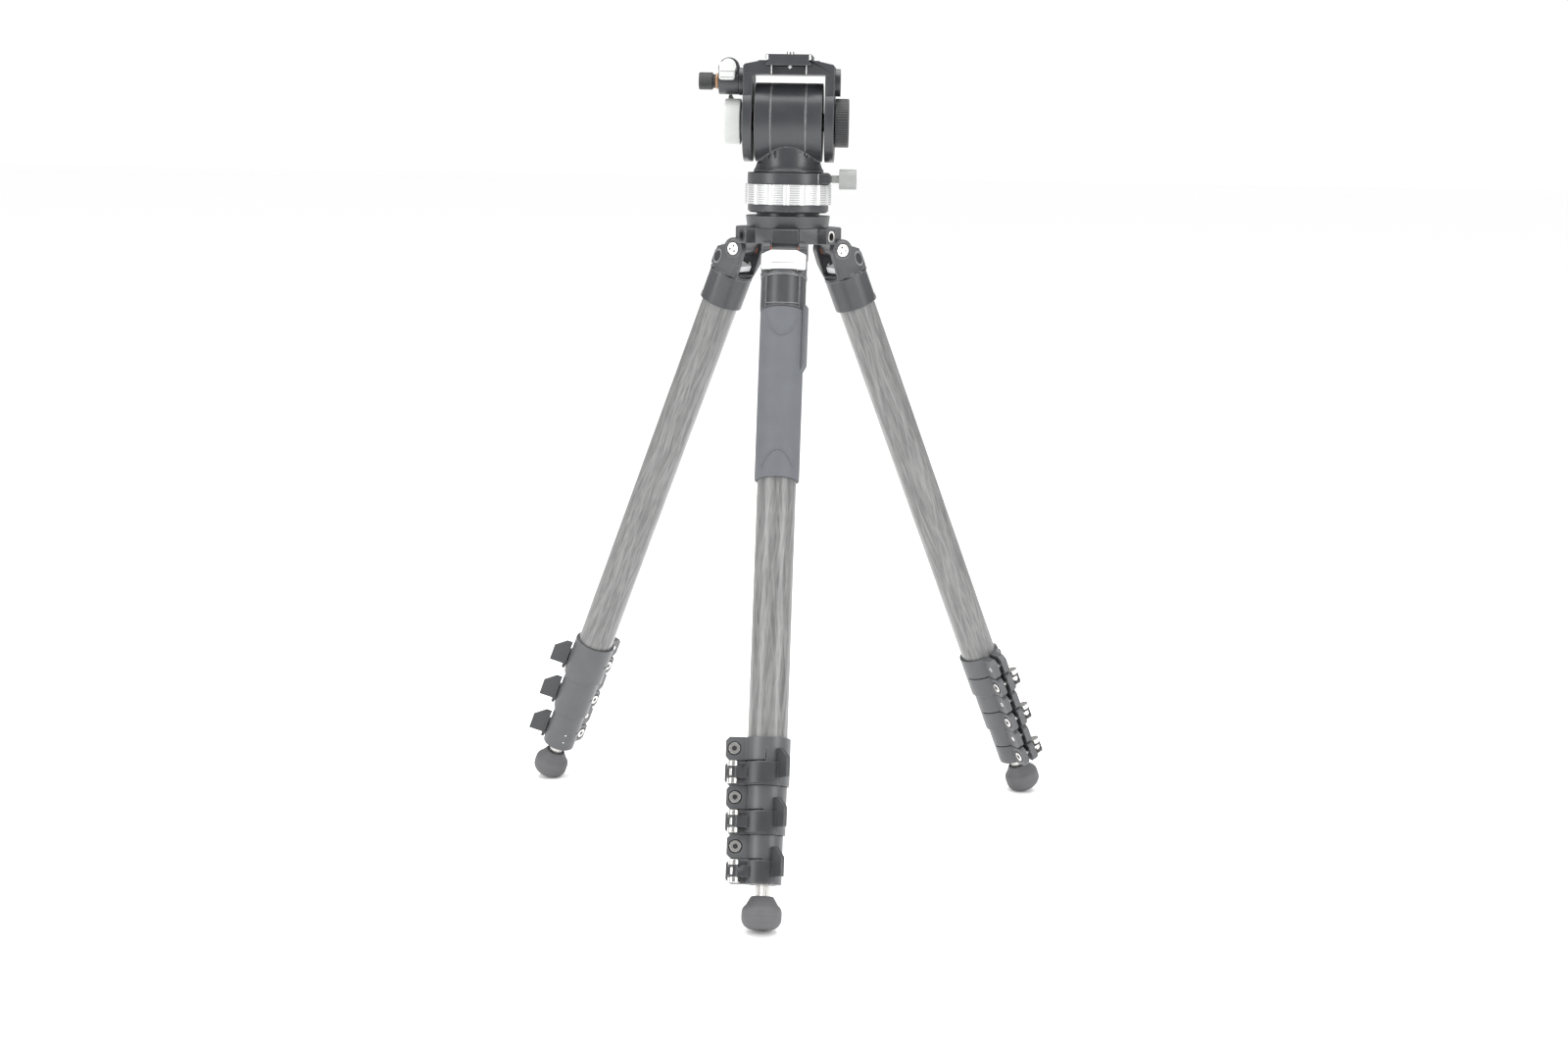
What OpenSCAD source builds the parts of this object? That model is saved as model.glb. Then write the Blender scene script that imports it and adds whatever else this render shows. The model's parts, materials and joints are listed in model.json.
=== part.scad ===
// Tripod with a fluid head: three folding legs of four telescoping tubes each, a
// levelling base in the tripod's bowl, and a pan and tilt head with a pan bar.
// Z is up, the floor is z = 0 and the tripod's axis is x = y = 0. The front leg
// points to -Y, the way the camera looks, and the pan bar points back to +Y.
// A leg's own frame has its origin on the hip pin, +X outward and -Z down the leg.

/* [Stance] */
// Angle between a standing leg and the vertical
leg_angle = 23; // [20:0.5:26]
// Distance of each hip pin from the tripod's axis
hip_radius = 44; // [43.5:0.5:48]
// Distance of a leg's tube axis outside its hip pin
leg_offset = 4.1; // [3:0.1:5]

/* [Leg tubes] */
// Outside diameter of the top leg tube
main_tube_d = 32; // [30:0.5:34]
// Wall of every leg tube
tube_wall = 1.4; // [1:0.1:1.6]
// Radial gap between one leg tube and the next
tube_gap = 0.4; // [0.35:0.05:0.5]
// Distance along the leg from the hip pin to the first lock
lock_start = 410; // [300:1:500]
// How much lower each inner tube starts than the tube around it
tube_top_step = 16; // [8:1:24]
// Length of the plug that closes the lowest tube
plug_len = 12; // [8:1:20]

/* [Leg castings] */
// Wall of the casting's sleeve around the top tube
sleeve_wall = 2.8; // [2:0.1:3.5]
// Distance along the leg from the hip pin to the sleeve's upper end
sleeve_top = 24; // [23:0.5:30]
// Length of the sleeve
sleeve_len = 30; // [20:1:36]
// How far the top tube starts below the sleeve's upper end
tube_seat = 3; // [2:0.5:6]
// Radius of the casting's ears around the hip pin
ear_r = 9.5; // [8.5:0.1:10]
// Thickness of each ear
ear_thick = 6.8; // [5:0.1:8]
// Depth of the recess for a nameplate in the sleeve
plate_recess = 0.7; // [0.3:0.1:1]
// Width of the nameplate recess
plate_recess_w = 28; // [20:1:30]

/* [Hips] */
// Width of each spider arm between a casting's ears
arm_w = 22.4; // [18:0.2:24]
// Thickness of the thrust washers beside each arm
washer_t = 0.5; // [0.3:0.1:1]
// Radius of the thrust washers
washer_r = 5.5; // [5:0.1:8]
// Radius of the arm's barrel around the hip pin
barrel_r = 5.6; // [5:0.1:6]
// Radius of the hip pins
hip_pin_r = 2.95; // [2.5:0.05:3.5]
// Radius of the hip pins' caps
hip_cap_r = 5.5; // [5:0.1:6]
// Thickness of the hip pins' caps
hip_cap_t = 1.9; // [1.5:0.1:2.5]
// Depth of each cap's seat in the casting's ear
hip_cap_seat = 1.6; // [1.2:0.1:2]

/* [Leg angle tabs] */
// Width of the tab that sets the leg's angle
tab_w = 37; // [30:1:37]
// Height of the tab's handle along the leg
tab_h = 16.5; // [12:0.5:18]
// Thickness of the tab's handle
tab_t = 3.6; // [2.5:0.1:5]
// Width of the bar that the handle pulls
tab_bar_w = 21; // [14:1:22]
// Thickness of that bar along the leg
tab_bar_t = 5.6; // [4:0.1:7]

/* [Leg locks] */
// Height of each of a lock's two clamp bands
band_h = 18.6; // [14:0.2:20]
// Height of the cut between the two bands
band_cut = 0.9; // [0.6:0.1:1.5]
// Gap between one lock and the next
lock_gap = 0.3; // [0.3:0.1:1]
// Wall of each lock's collar outside the tube that it holds
collar_wall = 2.6; // [2:0.1:3.2]
// Reach of the clamp lugs beyond the collar
lug_reach = 14; // [12:0.5:16]
// Thickness of each clamp lug
lug_t = 6; // [4:0.5:7]
// Size of the corners cut off each clamp lug
lug_corner = 3; // [1:0.5:4]
// Gap between the two lugs
lug_gap = 4; // [2:0.5:5]
// Distance of the rear lug's inner face behind the collar's middle
lug_back = 1; // [0:0.5:2]
// Radius of the clamp bolt's head
bolt_head_r = 4.5; // [4:0.1:5]
// Height of the clamp bolt's head
bolt_head_h = 3.4; // [2.5:0.1:4]
// Depth of the head's seat in the lug
bolt_seat = 3; // [2:0.1:3.5]
// Radius of the clamp bolt's shank
bolt_r = 2.5; // [2:0.1:3]
// Radius of the barrel nut that the lever turns on
barrel_nut_r = 4.7; // [4:0.1:5]
// Radius of the barrel nut's waist inside the lever
nut_waist_r = 3; // [2.4:0.1:3.4]
// Thickness of the lever's plate
lever_t = 3; // [2:0.1:4]
// Gap between the lever's plate and the collar
lever_gap = 0.6; // [0.4:0.1:1]
// Angle round the tube at which the lever's plate ends
lever_end = 33; // [20:1:45]
// Reach of the lever's finger tab beyond its plate
finger_reach = 13; // [8:1:16]
// Thickness of the finger tab
finger_t = 3; // [2:0.2:4]

/* [Feet] */
// Radius of the rubber foot
foot_r = 15.9; // [13:0.1:18]
// Height of the rubber foot
foot_h = 25.8; // [22:0.1:32]
// Radius of the foot's rounded lower edge
foot_round = 9; // [6:0.5:11]
// Radius of the foot's steel stem
stem_r = 6.2; // [5:0.1:7]
// Length of the stem that shows between the lowest lock and the rubber
stem_len = 8.8; // [4:0.1:16]
// Depth of the stem in the rubber
stem_depth = 8; // [5:0.5:12]
// Radius of the stem's stud as a share of the stem's radius
stud_share = 0.6; // [0.5:0.05:0.7]

/* [Leg grip] */
// Length of the rubber grip on the front leg
grip_len = 145; // [100:1:200]
// Wall of the rubber grip
grip_wall = 2.4; // [1.5:0.1:3]

/* [Spider and bowl] */
// Height of the spider's underside above the hip pins
spider_rise = 6.2; // [6:0.1:8]
// Thickness of the spider
spider_h = 13.3; // [12:0.1:16]
// Distance of the port faces from the tripod's axis
port_lobe_r = 44; // [40:0.5:46]
// Width of each port face
port_lobe_w = 14.4; // [12:0.2:16]
// Radius of the threaded ports between the legs
port_r = 3.175; // [2.5:0.025:4]
// Depth of the threaded ports
port_depth = 10; // [8:1:12]
// Radius of the bowl at its rim
bowl_r = 36.2; // [35.8:0.1:38]
// Height of the bowl above the spider
bowl_h = 9.9; // [8:0.1:12]
// Radius of the levelling ball
ball_r = 27; // [25:0.1:27.6]

/* [Levelling base] */
// Gap between the bowl's rim and the levelling base
level_gap = 2.7; // [2.6:0.1:4]
// Radius of the levelling base's lower ring
flange_r = 34.5; // [34:0.1:35.5]
// Height of the lower ring
flange_h = 6.6; // [5:0.1:9]
// Radius of the silver locking ring
level_ring_r = 36.8; // [36.2:0.1:38]
// Height of the locking ring between its neighbours
level_ring_h = 17.6; // [14:0.1:22]
// Number of flutes round the locking ring
level_flutes = 16; // [12:1:18]

/* [Pan base] */
// Radius of the pan base
pan_base_r = 35; // [34.5:0.1:36]
// Height of the pan base
pan_base_h = 9.4; // [8:0.1:12]
// Radius of the pan spigot
spigot_r = 15; // [10:0.5:20]
// Length of the pan spigot
spigot_len = 6; // [4:0.5:7]
// Distance of the pan lock's screw in front of the pan axis
pan_screw_y = 17; // [12:0.5:20]
// Length of the pan lock's knob
pan_knob_len = 14.7; // [10:0.1:18]
// Radius of the pan lock's knob
pan_knob_r = 8.5; // [7:0.1:9]

/* [Tilt drum] */
// Height of the tilt axis above the pan base
tilt_height = 42; // [40:0.5:46]
// Radius of the drum
drum_r = 33; // [30:0.5:35]
// Width of the drum
drum_w = 57; // [50:0.5:60]
// Radius of the neck where it leaves the pan base
neck_r = 30; // [28:0.5:33]
// Radius of the neck's waist below the drum
neck_waist_r = 26.8; // [24:0.2:28]
// Radius of the tilt shaft
shaft_r = 8; // [6:0.5:10]

/* [Tilt cradle] */
// Thickness of the cradle's side arms
side_arm_t = 8; // [6:0.5:10]
// Gap between the drum and each side arm
side_gap = 2; // [1:0.1:3]
// Radius of the side arms round the tilt axis
side_arm_r = 33.4; // [31:0.2:35]
// Depth of the cradle's bridge from front to back
bridge_d = 50; // [40:1:60]
// Height of the bridge's underside above the tilt axis
bridge_rise = 39.2; // [38:0.2:44]
// Thickness of the bridge
bridge_t = 10.2; // [9:0.1:14]
// Drop from the bridge's top to the outer edge of its sloping shoulders
shoulder_drop = 1.5; // [1:0.5:6]
// Width of the channel under the plate at the bridge's front
channel_w = 28.5; // [20:0.5:30]
// Depth of that channel
channel_depth = 6; // [3:0.5:9]
// Height of the rosettes above the tilt axis
rosette_rise = 33.6; // [32.5:0.1:36]
// Radius of the rosettes
rosette_r = 11.5; // [10:0.1:12]
// Thickness of the rosettes
rosette_t = 4.5; // [3:0.1:6]
// Number of teeth on a rosette
rosette_teeth = 24; // [12:1:36]

/* [Quick release] */
// Width of the camera plate
plate_w = 38.4; // [36:0.2:42]
// Length of the camera plate
plate_len = 60; // [50:1:80]
// Height of the camera plate
plate_h = 9.2; // [8:0.1:11]
// Depth of the dovetail waist on each side of the plate
plate_waist = 2.6; // [2:0.1:3.2]
// Gap between the plate and the clamp
plate_gap = 0.3; // [0.3:0.05:0.6]
// Depth of the plate's seat in the bridge
plate_seat = 3; // [2:0.1:4]
// Height of the clamp's jaws above the bridge
jaw_rise = 1.6; // [1:0.1:2]
// Radius of the camera screw
camera_screw_r = 3.175; // [3.1:0.025:5]
// Length of the camera screw above the plate
camera_screw_len = 3; // [2.5:0.1:6]

/* [Side knobs] */
// Radius of the left drag knob
drag_knob_r = 19.3; // [15:0.1:20]
// Length of the left drag knob
drag_knob_len = 13.7; // [10:0.1:16]
// Radius of the right tilt lock knob
lock_knob_r = 20.5; // [15:0.1:21]
// Length of the right tilt lock knob
lock_knob_len = 11.4; // [10:0.1:16]
// Radius of the knobs' studs in the shaft
stud_r = 3; // [2.5:0.1:4]

/* [Pan bar] */
// Slope of the pan bar below the horizontal
bar_slope = 8; // [4:0.5:16]
// Radius of the pan bar
bar_r = 6.5; // [5:0.1:7]
// Height of the pan bar's axis above its rosette
bar_rise = 9.3; // [9.3:0.1:11]
// Length of the bar behind its clamp
bar_back = 278; // [200:1:320]
// Length of the bar in front of its clamp's middle
bar_front = 20; // [14:1:24]
// Length of the foam grip at the bar's end
bar_grip_len = 128; // [90:1:150]
// Radius of the foam grip
bar_grip_r = 12; // [10:0.5:14]
// Width of the clamp along its rosette's axis
clamp_w = 17; // [16:0.5:20]
// Depth of the clamp along the bar
clamp_d = 19; // [14:0.5:22]
// Wall of the clamp's ring round the bar
clamp_ring_wall = 2.8; // [2:0.1:3.5]
// Radius of the clamp's screw
clamp_screw_r = 2.5; // [2:0.1:2.6]
// Radius of the clamp screw's knob
clamp_knob_r = 7.3; // [6:0.1:9]

/* [Fits] */
// Radial clearance of a piece fastened in its seat
seat_fit = 0.03; // [0.02:0.01:0.05]
// Radial clearance of a pin that turns in its bore
pin_fit = 0.05; // [0.03:0.01:0.1]
// Gap between neighbouring faces that move past each other
run_gap = 0.3; // [0.3:0.05:0.5]

/* [Hidden] */
LEGS = ["front", "left", "right"];
LEG_AZIMUTH = [-90, 150, 30];
LEG_PARTS = ["casting", "angle_tab", "tube_1", "collar_1", "lever_1", "tube_2", "collar_2",
    "lever_2", "tube_3", "collar_3", "lever_3", "tube_4", "foot"];

$fn = 96;
BIG = 400; // longer than any cut

// Leg tubes, numbered 0 to 3 from the top
function tube_r(i) = main_tube_d / 2 - i * (tube_wall + tube_gap);
function collar_r(i) = tube_r(i) + collar_wall;
lock_h = 2 * band_h + band_cut;
lock_pitch = lock_h + lock_gap;
function lock_s(i) = lock_start + i * lock_pitch;
stack_end = lock_s(2) + lock_h;
function tube_top(i) = sleeve_top + tube_seat + i * tube_top_step;
function tube_end(i) = i < 3 ? lock_s(i) + band_h - 1 : stack_end - 0.5;

// Feet and the height of the hips over the floor
foot_top = stack_end + stem_len;
foot_end = foot_top + foot_h;
foot_centre_r = foot_r - foot_round;
hip_z = (foot_end - foot_round) * cos(leg_angle) + foot_round
    - (leg_offset - foot_centre_r) * sin(leg_angle);

// Heights of the head's pieces
spider_z = hip_z + spider_rise;
bowl_z = spider_z + spider_h;
rim_z = bowl_z + bowl_h;
flange_z = rim_z + level_gap;
level_ring_z = flange_z + flange_h;
pan_base_z = level_ring_z + level_ring_h;
pan_top_z = pan_base_z + pan_base_h;
tilt_z = pan_top_z + tilt_height;
bridge_z = tilt_z + bridge_rise;
bridge_top_z = bridge_z + bridge_t;
plate_z = bridge_top_z - plate_seat + plate_gap;
rosette_z = tilt_z + rosette_rise;

// Castings
sleeve_r = main_tube_d / 2 + sleeve_wall;
sleeve_end = sleeve_top + sleeve_len;
fork_in = arm_w / 2 + washer_t + 0.1;
fork_out = fork_in + ear_thick;
tab_top = ear_r * 0.5;
tab_x = ear_r + 7;
tab_bar_s = tab_top + tab_h - 1;

// Locks
lug_front = lug_gap - lug_back;
function lug_y(i) = -(collar_r(i) + lug_reach / 2);
nut_x = lug_front + lug_t + barrel_nut_r + run_gap;
nut_cap_h = 4.5;
knuckle_h = band_h - 2 * nut_cap_h - 2 * run_gap;
lever_band = lock_h - band_h / 2;

// Head
side_in = drum_w / 2 + side_gap;
side_out = side_in + side_arm_t;
level_hub_r = ball_r + 3.6;
shaft_end = side_out + run_gap;
clamp_x = side_out + rosette_t + run_gap;
bar_x = clamp_x + clamp_w / 2 - 0.5;
clamp_ring_r = bar_r + clamp_ring_wall;

module at_leg(i) {
    rotate([0, 0, LEG_AZIMUTH[i]])
        translate([hip_radius, 0, hip_z])
            rotate([0, -leg_angle, 0])
                children();
}

module on_tube(i) {
    at_leg(i)
        translate([leg_offset, 0, 0])
            children();
}

module ring(outer, inner, h) {
    difference() {
        cylinder(r = outer, h = h);
        translate([0, 0, -1])
            cylinder(r = inner, h = h + 2);
    }
}

module along_x(x) {
    translate([x, 0, 0])
        rotate([0, 90, 0])
            children();
}

// ---- Legs ----

module casting(i) {
    color("dimgray")
        at_leg(i)
            difference() {
                union() {
                    intersection() {
                        rotate([90, 0, 0])
                            translate([0, 0, -fork_out])
                                linear_extrude(2 * fork_out)
                                    casting_profile();
                        casting_taper();
                    }
                    translate([leg_offset, 0, -sleeve_end])
                        cylinder(r = sleeve_r, h = sleeve_len + 1);
                }
                casting_cuts();
            }
}

module casting_profile() {
    circle(r = ear_r);
    polygon([[-ear_r, 0], [leg_offset - sleeve_r + 4, -sleeve_top + 6],
        [leg_offset - sleeve_r + 4, -sleeve_top - 1], [leg_offset + 12, -sleeve_top - 1],
        [tab_x - 0.5, -sleeve_top + 5], [tab_x - 0.5, -tab_top], [ear_r, 0]]);
}

// Round over the sleeve, and past the block's corners at the ears
module casting_taper() {
    taper_end = -ear_r + 1.2;
    translate([leg_offset, 0, -sleeve_top - 1.6])
        cylinder(r1 = sleeve_r + 0.4, r2 = fork_out + 5.4, h = sleeve_top + 1.6 + taper_end);
    translate([-BIG / 2, -BIG / 2, taper_end - 0.2])
        cube(BIG);
}

module casting_cuts() {
    // gap between the ears
    translate([-BIG / 2, -fork_in, -tab_bar_s - 1.2])
        cube([BIG, 2 * fork_in, BIG]);
    // hip pin and the seats of its caps
    rotate([90, 0, 0]) {
        translate([0, 0, -BIG / 2])
            cylinder(r = hip_pin_r + pin_fit, h = BIG);
        for (side = [0, 1])
            mirror([0, 0, side])
                translate([0, 0, fork_out - hip_cap_seat])
                    cylinder(r = hip_cap_r + run_gap, h = BIG);
    }
    translate([leg_offset, 0, -BIG - tube_top(0)])
        cylinder(r = tube_r(0) + seat_fit, h = BIG);
    // nameplate recess on the sleeve's outer side
    intersection() {
        translate([leg_offset, 0, -sleeve_end])
            ring(sleeve_r + 5, sleeve_r - plate_recess, sleeve_len + 1);
        translate([leg_offset, -plate_recess_w / 2, -sleeve_end + 1.5])
            cube([BIG, plate_recess_w, sleeve_len - 2.9]);
    }
}

module angle_tab(i) {
    color("silver")
        at_leg(i)
            union() {
                translate([tab_x, 0, -tab_top - tab_h])
                    rotate([90, 0, 90])
                        linear_extrude(tab_t)
                            tab_outline();
                translate([leg_offset - sleeve_r + 8, -tab_bar_w / 2, -tab_bar_s])
                    cube([tab_x + tab_t / 2 - leg_offset + sleeve_r - 8, tab_bar_w, tab_bar_t]);
            }
}

module tab_outline() {
    corner = 4;
    polygon([[-tab_w / 2, 1], [-tab_w / 2 + 1, 0], [tab_w / 2 - 1, 0], [tab_w / 2, 1],
        [tab_w / 2, tab_h - corner], [tab_w / 2 - 2 * corner, tab_h],
        [-tab_w / 2 + 2 * corner, tab_h], [-tab_w / 2, tab_h - corner]]);
}

module leg_tube(i, k) {
    color(i == 3 ? "dimgray" : "gray")
        on_tube(k)
            translate([0, 0, -tube_end(i)])
                difference() {
                    cylinder(r = tube_r(i), h = tube_end(i) - tube_top(i));
                    translate([0, 0, i == 3 ? plug_len : -1])
                        cylinder(r = tube_r(i) - tube_wall, h = BIG * 2);
                    if (i == 3)
                        translate([0, 0, -1])
                            cylinder(r = stud_share * stem_r + seat_fit, h = plug_len - 1);
                }
}

// A lock has two clamp bands: the upper one is bolted to the tube above, and the
// lower one grips the next tube when its lever is closed.
module collar(i, k) {
    color("slategray")
        on_tube(k)
            translate([0, 0, -lock_s(i) - lock_h]) {
                difference() {
                    collar_body(i);
                    collar_cuts(i);
                }
                barrel_nut(i);
                clamp_bolt(i);
            }
}

module collar_body(i) {
    cylinder(r = collar_r(i), h = lock_h);
    for (x = [-lug_back - lug_t, lug_front])
        translate([x, 0, 0])
            rotate([90, 0, 90])
                linear_extrude(lug_t)
                    lug_outline(i);
}

// Side view of both bands' lugs, with their outer corners cut off
module lug_outline(i) {
    out = -collar_r(i) - lug_reach;
    mid = band_h + band_cut / 2;
    cut = lug_corner + band_cut / 2;
    polygon([[out + lug_corner, 0], [-collar_r(i) + collar_wall, 0],
        [-collar_r(i) + collar_wall, lock_h], [out + lug_corner, lock_h],
        [out, lock_h - lug_corner], [out, mid + cut], [out + cut, mid], [out, mid - cut],
        [out, lug_corner]]);
}

module collar_cuts(i) {
    translate([0, 0, band_h + band_cut + 1])
        cylinder(r = tube_r(i) + seat_fit, h = BIG);
    translate([0, 0, -1])
        cylinder(r = tube_r(i + 1) + run_gap, h = BIG);
    // split between the lugs
    translate([-lug_back, -BIG, -1])
        cube([lug_gap, BIG, lock_h + 2]);
    // cut between the bands, round the lugs' side
    translate([-BIG / 2, -BIG, band_h])
        cube([BIG, BIG, band_cut]);
    // bolts through the lugs, and the seats of their heads
    for (z = [band_h / 2, lock_h - band_h / 2])
        translate([0, lug_y(i), z])
            along_x(-BIG / 2)
                cylinder(r = bolt_r + 2 * seat_fit, h = BIG);
    translate([0, lug_y(i), lock_h - band_h / 2])
        along_x(lug_front + lug_t - bolt_seat)
            cylinder(r = bolt_head_r + 1, h = BIG);
    translate([0, lug_y(i), band_h / 2])
        along_x(-lug_back - lug_t + bolt_seat)
            mirror([0, 0, 1])
                cylinder(r = bolt_head_r + 1, h = BIG);
}

module clamp_bolt(i) {
    translate([0, lug_y(i), lock_h - band_h / 2])
        along_x(lug_front + lug_t - bolt_seat + seat_fit) {
            cylinder(r = bolt_head_r, h = bolt_head_h);
            translate([0, 0, bolt_seat + 0.3 - 2 * lug_t - lug_gap])
                cylinder(r = bolt_r, h = 2 * lug_t + lug_gap - bolt_seat + 0.7);
        }
}

// The barrel nut stands on the lower bolt, whose head is behind the rear lug.
module barrel_nut(i) {
    translate([nut_x, lug_y(i), 0]) {
        for (z = [0.5, band_h - nut_cap_h])
            translate([0, 0, z])
                cylinder(r = barrel_nut_r, h = nut_cap_h - 0.5);
        translate([0, 0, 1])
            cylinder(r = nut_waist_r, h = band_h - 2);
    }
    translate([0, lug_y(i), band_h / 2])
        along_x(-lug_back - lug_t + bolt_seat - seat_fit) {
            cylinder(r = bolt_r, h = nut_x + lug_back + lug_t - bolt_seat);
            mirror([0, 0, 1])
                cylinder(r = bolt_head_r, h = bolt_head_h);
        }
}

module lever(i, k) {
    r_in = collar_r(i) + lever_gap;
    root = atan2(lug_y(i), nut_x) + 12;
    color("dimgray")
        on_tube(k)
            translate([0, 0, -lock_s(i) - lock_h])
                difference() {
                    union() {
                        translate([0, 0, 1])
                            rotate([0, 0, root])
                                rotate_extrude(angle = lever_end - root)
                                    translate([r_in, 0])
                                        square([lever_t, band_h - 2]);
                        rotate([0, 0, lever_end])
                            finger(r_in);
                        translate([nut_x, lug_y(i), nut_cap_h + run_gap])
                            cylinder(r = barrel_nut_r, h = knuckle_h);
                        lever_root(r_in, i, root);
                    }
                    translate([nut_x, lug_y(i), -1])
                        cylinder(r = nut_waist_r + pin_fit, h = BIG);
                    // the bolt passes through the knuckle as the lever turns
                    translate([nut_x, lug_y(i), band_h / 2 - bolt_r - run_gap])
                        rotate([0, 0, 114])
                            rotate_extrude(angle = 232)
                                square([barrel_nut_r + 1, 2 * (bolt_r + run_gap)]);
                }
}

module finger(r_in) {
    translate([r_in, 0.5, 0])
        rotate([90, 0, 0])
            linear_extrude(finger_t)
                polygon([[0.4, 5.5], [lever_t + finger_reach, 5.5],
                    [lever_t + finger_reach, 20.5], [lever_t + 3, 29], [0.4, 29]]);
}

// Web from the lever's plate to the knuckle on the barrel nut's waist
module lever_root(r_in, i, root) {
    reach = norm([nut_x, lug_y(i)]) - r_in;
    translate([0, 0, nut_cap_h + run_gap])
        rotate([0, 0, root - 12])
            linear_extrude(knuckle_h)
                polygon([[r_in, 1.5], [r_in + reach - 1, -barrel_nut_r + 0.5],
                    [r_in + reach + barrel_nut_r - 1, 2], [r_in + lever_t, 9], [r_in, 7]]);
}

module foot(k) {
    stem_top = stack_end - 0.5;
    on_tube(k) {
        color("silver")
            translate([0, 0, -foot_top - stem_depth + seat_fit]) {
                cylinder(r = stem_r, h = foot_top + stem_depth - stem_top - 2 * seat_fit);
                cylinder(r = stud_share * stem_r, h = foot_top + stem_depth - stem_top + plug_len - 3);
            }
        color("dimgray")
            translate([0, 0, -foot_end])
                difference() {
                    rotate_extrude()
                        foot_profile();
                    translate([0, 0, foot_h - stem_depth])
                        cylinder(r = stem_r + seat_fit, h = stem_depth + 1);
                }
    }
}

module foot_profile() {
    upper_round = 7;
    shoulder = foot_round + 4.2;
    translate([foot_centre_r, foot_round])
        intersection() {
            circle(r = foot_round);
            translate([0, -foot_round])
                square(foot_round);
        }
    polygon([[0, 0], [foot_centre_r, 0], [foot_centre_r, foot_round], [foot_r, foot_round],
        for (a = [0 : 8 : 56])
            [foot_r - upper_round * (1 - cos(a)), shoulder + upper_round * sin(a)],
        [stem_r + 2.6, foot_h], [0, foot_h]]);
}

module leg_grip() {
    color("dimgray")
        on_tube(0)
            translate([0, 0, -sleeve_end - grip_len])
                ring(tube_r(0) + grip_wall, tube_r(0) + seat_fit, grip_len);
}

// ---- Spider, bowl and hip pins ----

module spider() {
    color("slategray")
        difference() {
            union() {
                translate([0, 0, spider_z])
                    linear_extrude(spider_h)
                        spider_outline();
                for (a = LEG_AZIMUTH)
                    rotate([0, 0, a])
                        hip_arm();
            }
            translate([0, 0, rim_z])
                sphere(r = ball_r + run_gap);
            for (a = LEG_AZIMUTH)
                rotate([0, 0, a]) {
                    translate([hip_radius, 0, hip_z])
                        rotate([90, 0, 0])
                            cylinder(r = hip_pin_r + seat_fit, h = BIG, center = true);
                    rotate([0, 0, 60])
                        translate([port_lobe_r - port_depth, 0, spider_z + spider_h / 2])
                            along_x(0)
                                cylinder(r = port_r, h = BIG);
                }
        }
}

// Hub with a lobe for a port between each two arms
module spider_outline() {
    hub = hip_radius - ear_r - 1.5;
    lobe_root = hub + 2;
    inset = port_lobe_w / 2 - 0.7;
    polygon([for (a = [-90, 30, 150])
        each [turn(a - 60, lobe_root, inset), turn(a, hub, -arm_w / 2),
            turn(a, hub, arm_w / 2), turn(a + 60, lobe_root, -inset)]]);
    for (a = LEG_AZIMUTH)
        rotate(a + 60)
            translate([0, -port_lobe_w / 2])
                square([port_lobe_r, port_lobe_w]);
}

// A point r along azimuth a and t to its left
function turn(a, r, t) = [r * cos(a) - t * sin(a), r * sin(a) + t * cos(a)];

module hip_arm() {
    nose = hip_radius + 2.6;
    root = hip_radius - ear_r - 4.5;
    rotate([90, 0, 0])
        translate([0, 0, -arm_w / 2])
            linear_extrude(arm_w) {
                translate([hip_radius, hip_z])
                    circle(r = barrel_r);
                polygon([[hip_radius - barrel_r, hip_z], [hip_radius, hip_z],
                    [hip_radius + 3, hip_z + spider_rise + 2], [nose, hip_z + spider_rise + 3],
                    [nose, bowl_z - 1], [nose - 1, bowl_z], [root, bowl_z],
                    [root, spider_z], [hip_radius - barrel_r - 4, spider_z]]);
            }
}

module bowl() {
    color("slategray")
        difference() {
            translate([0, 0, bowl_z])
                cylinder(r1 = bowl_r - 1.5, r2 = bowl_r, h = bowl_h);
            translate([0, 0, rim_z])
                sphere(r = ball_r + run_gap);
            translate([0, 0, rim_z - 1.8])
                cylinder(r1 = ball_r, r2 = bowl_r - 1.2, h = 1.81);
            translate([0, 0, bowl_z - 1])
                cylinder(r = ball_r - 0.5, h = bowl_h + 2);
        }
}

module hip_pins() {
    color("silver")
        for (a = LEG_AZIMUTH)
            rotate([0, 0, a])
                translate([hip_radius, 0, hip_z])
                    rotate([90, 0, 0]) {
                        cylinder(r = hip_pin_r, h = 2 * fork_out - 1, center = true);
                        for (side = [0, 1])
                            mirror([0, 0, side])
                                translate([0, 0, fork_out - hip_cap_seat + run_gap])
                                    cylinder(r = hip_cap_r, h = hip_cap_t);
                    }
}

module hip_washers() {
    color("orangered")
        for (a = LEG_AZIMUTH)
            rotate([0, 0, a])
                translate([hip_radius, 0, hip_z])
                    rotate([90, 0, 0])
                        for (side = [0, 1])
                            mirror([0, 0, side])
                                translate([0, 0, arm_w / 2])
                                    ring(washer_r, hip_pin_r + seat_fit, washer_t);
}

// ---- Levelling base ----

module level_ball() {
    cap = ball_r * 0.45;
    foot_cut = spider_h + bowl_h - 3;
    color("darkgray")
        translate([0, 0, rim_z])
            intersection() {
                sphere(r = ball_r);
                translate([0, 0, -foot_cut])
                    cylinder(r = BIG, h = foot_cut + cap);
            }
}

module level_base() {
    color("dimgray")
        difference() {
            translate([0, 0, flange_z])
                union() {
                    cylinder(r1 = flange_r - 1.5, r2 = flange_r, h = 1.6);
                    translate([0, 0, 1.5])
                        cylinder(r = flange_r, h = flange_h - 1.5);
                    cylinder(r = level_hub_r, h = flange_h + level_ring_h);
                }
            translate([0, 0, rim_z])
                sphere(r = ball_r + run_gap);
        }
}

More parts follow.
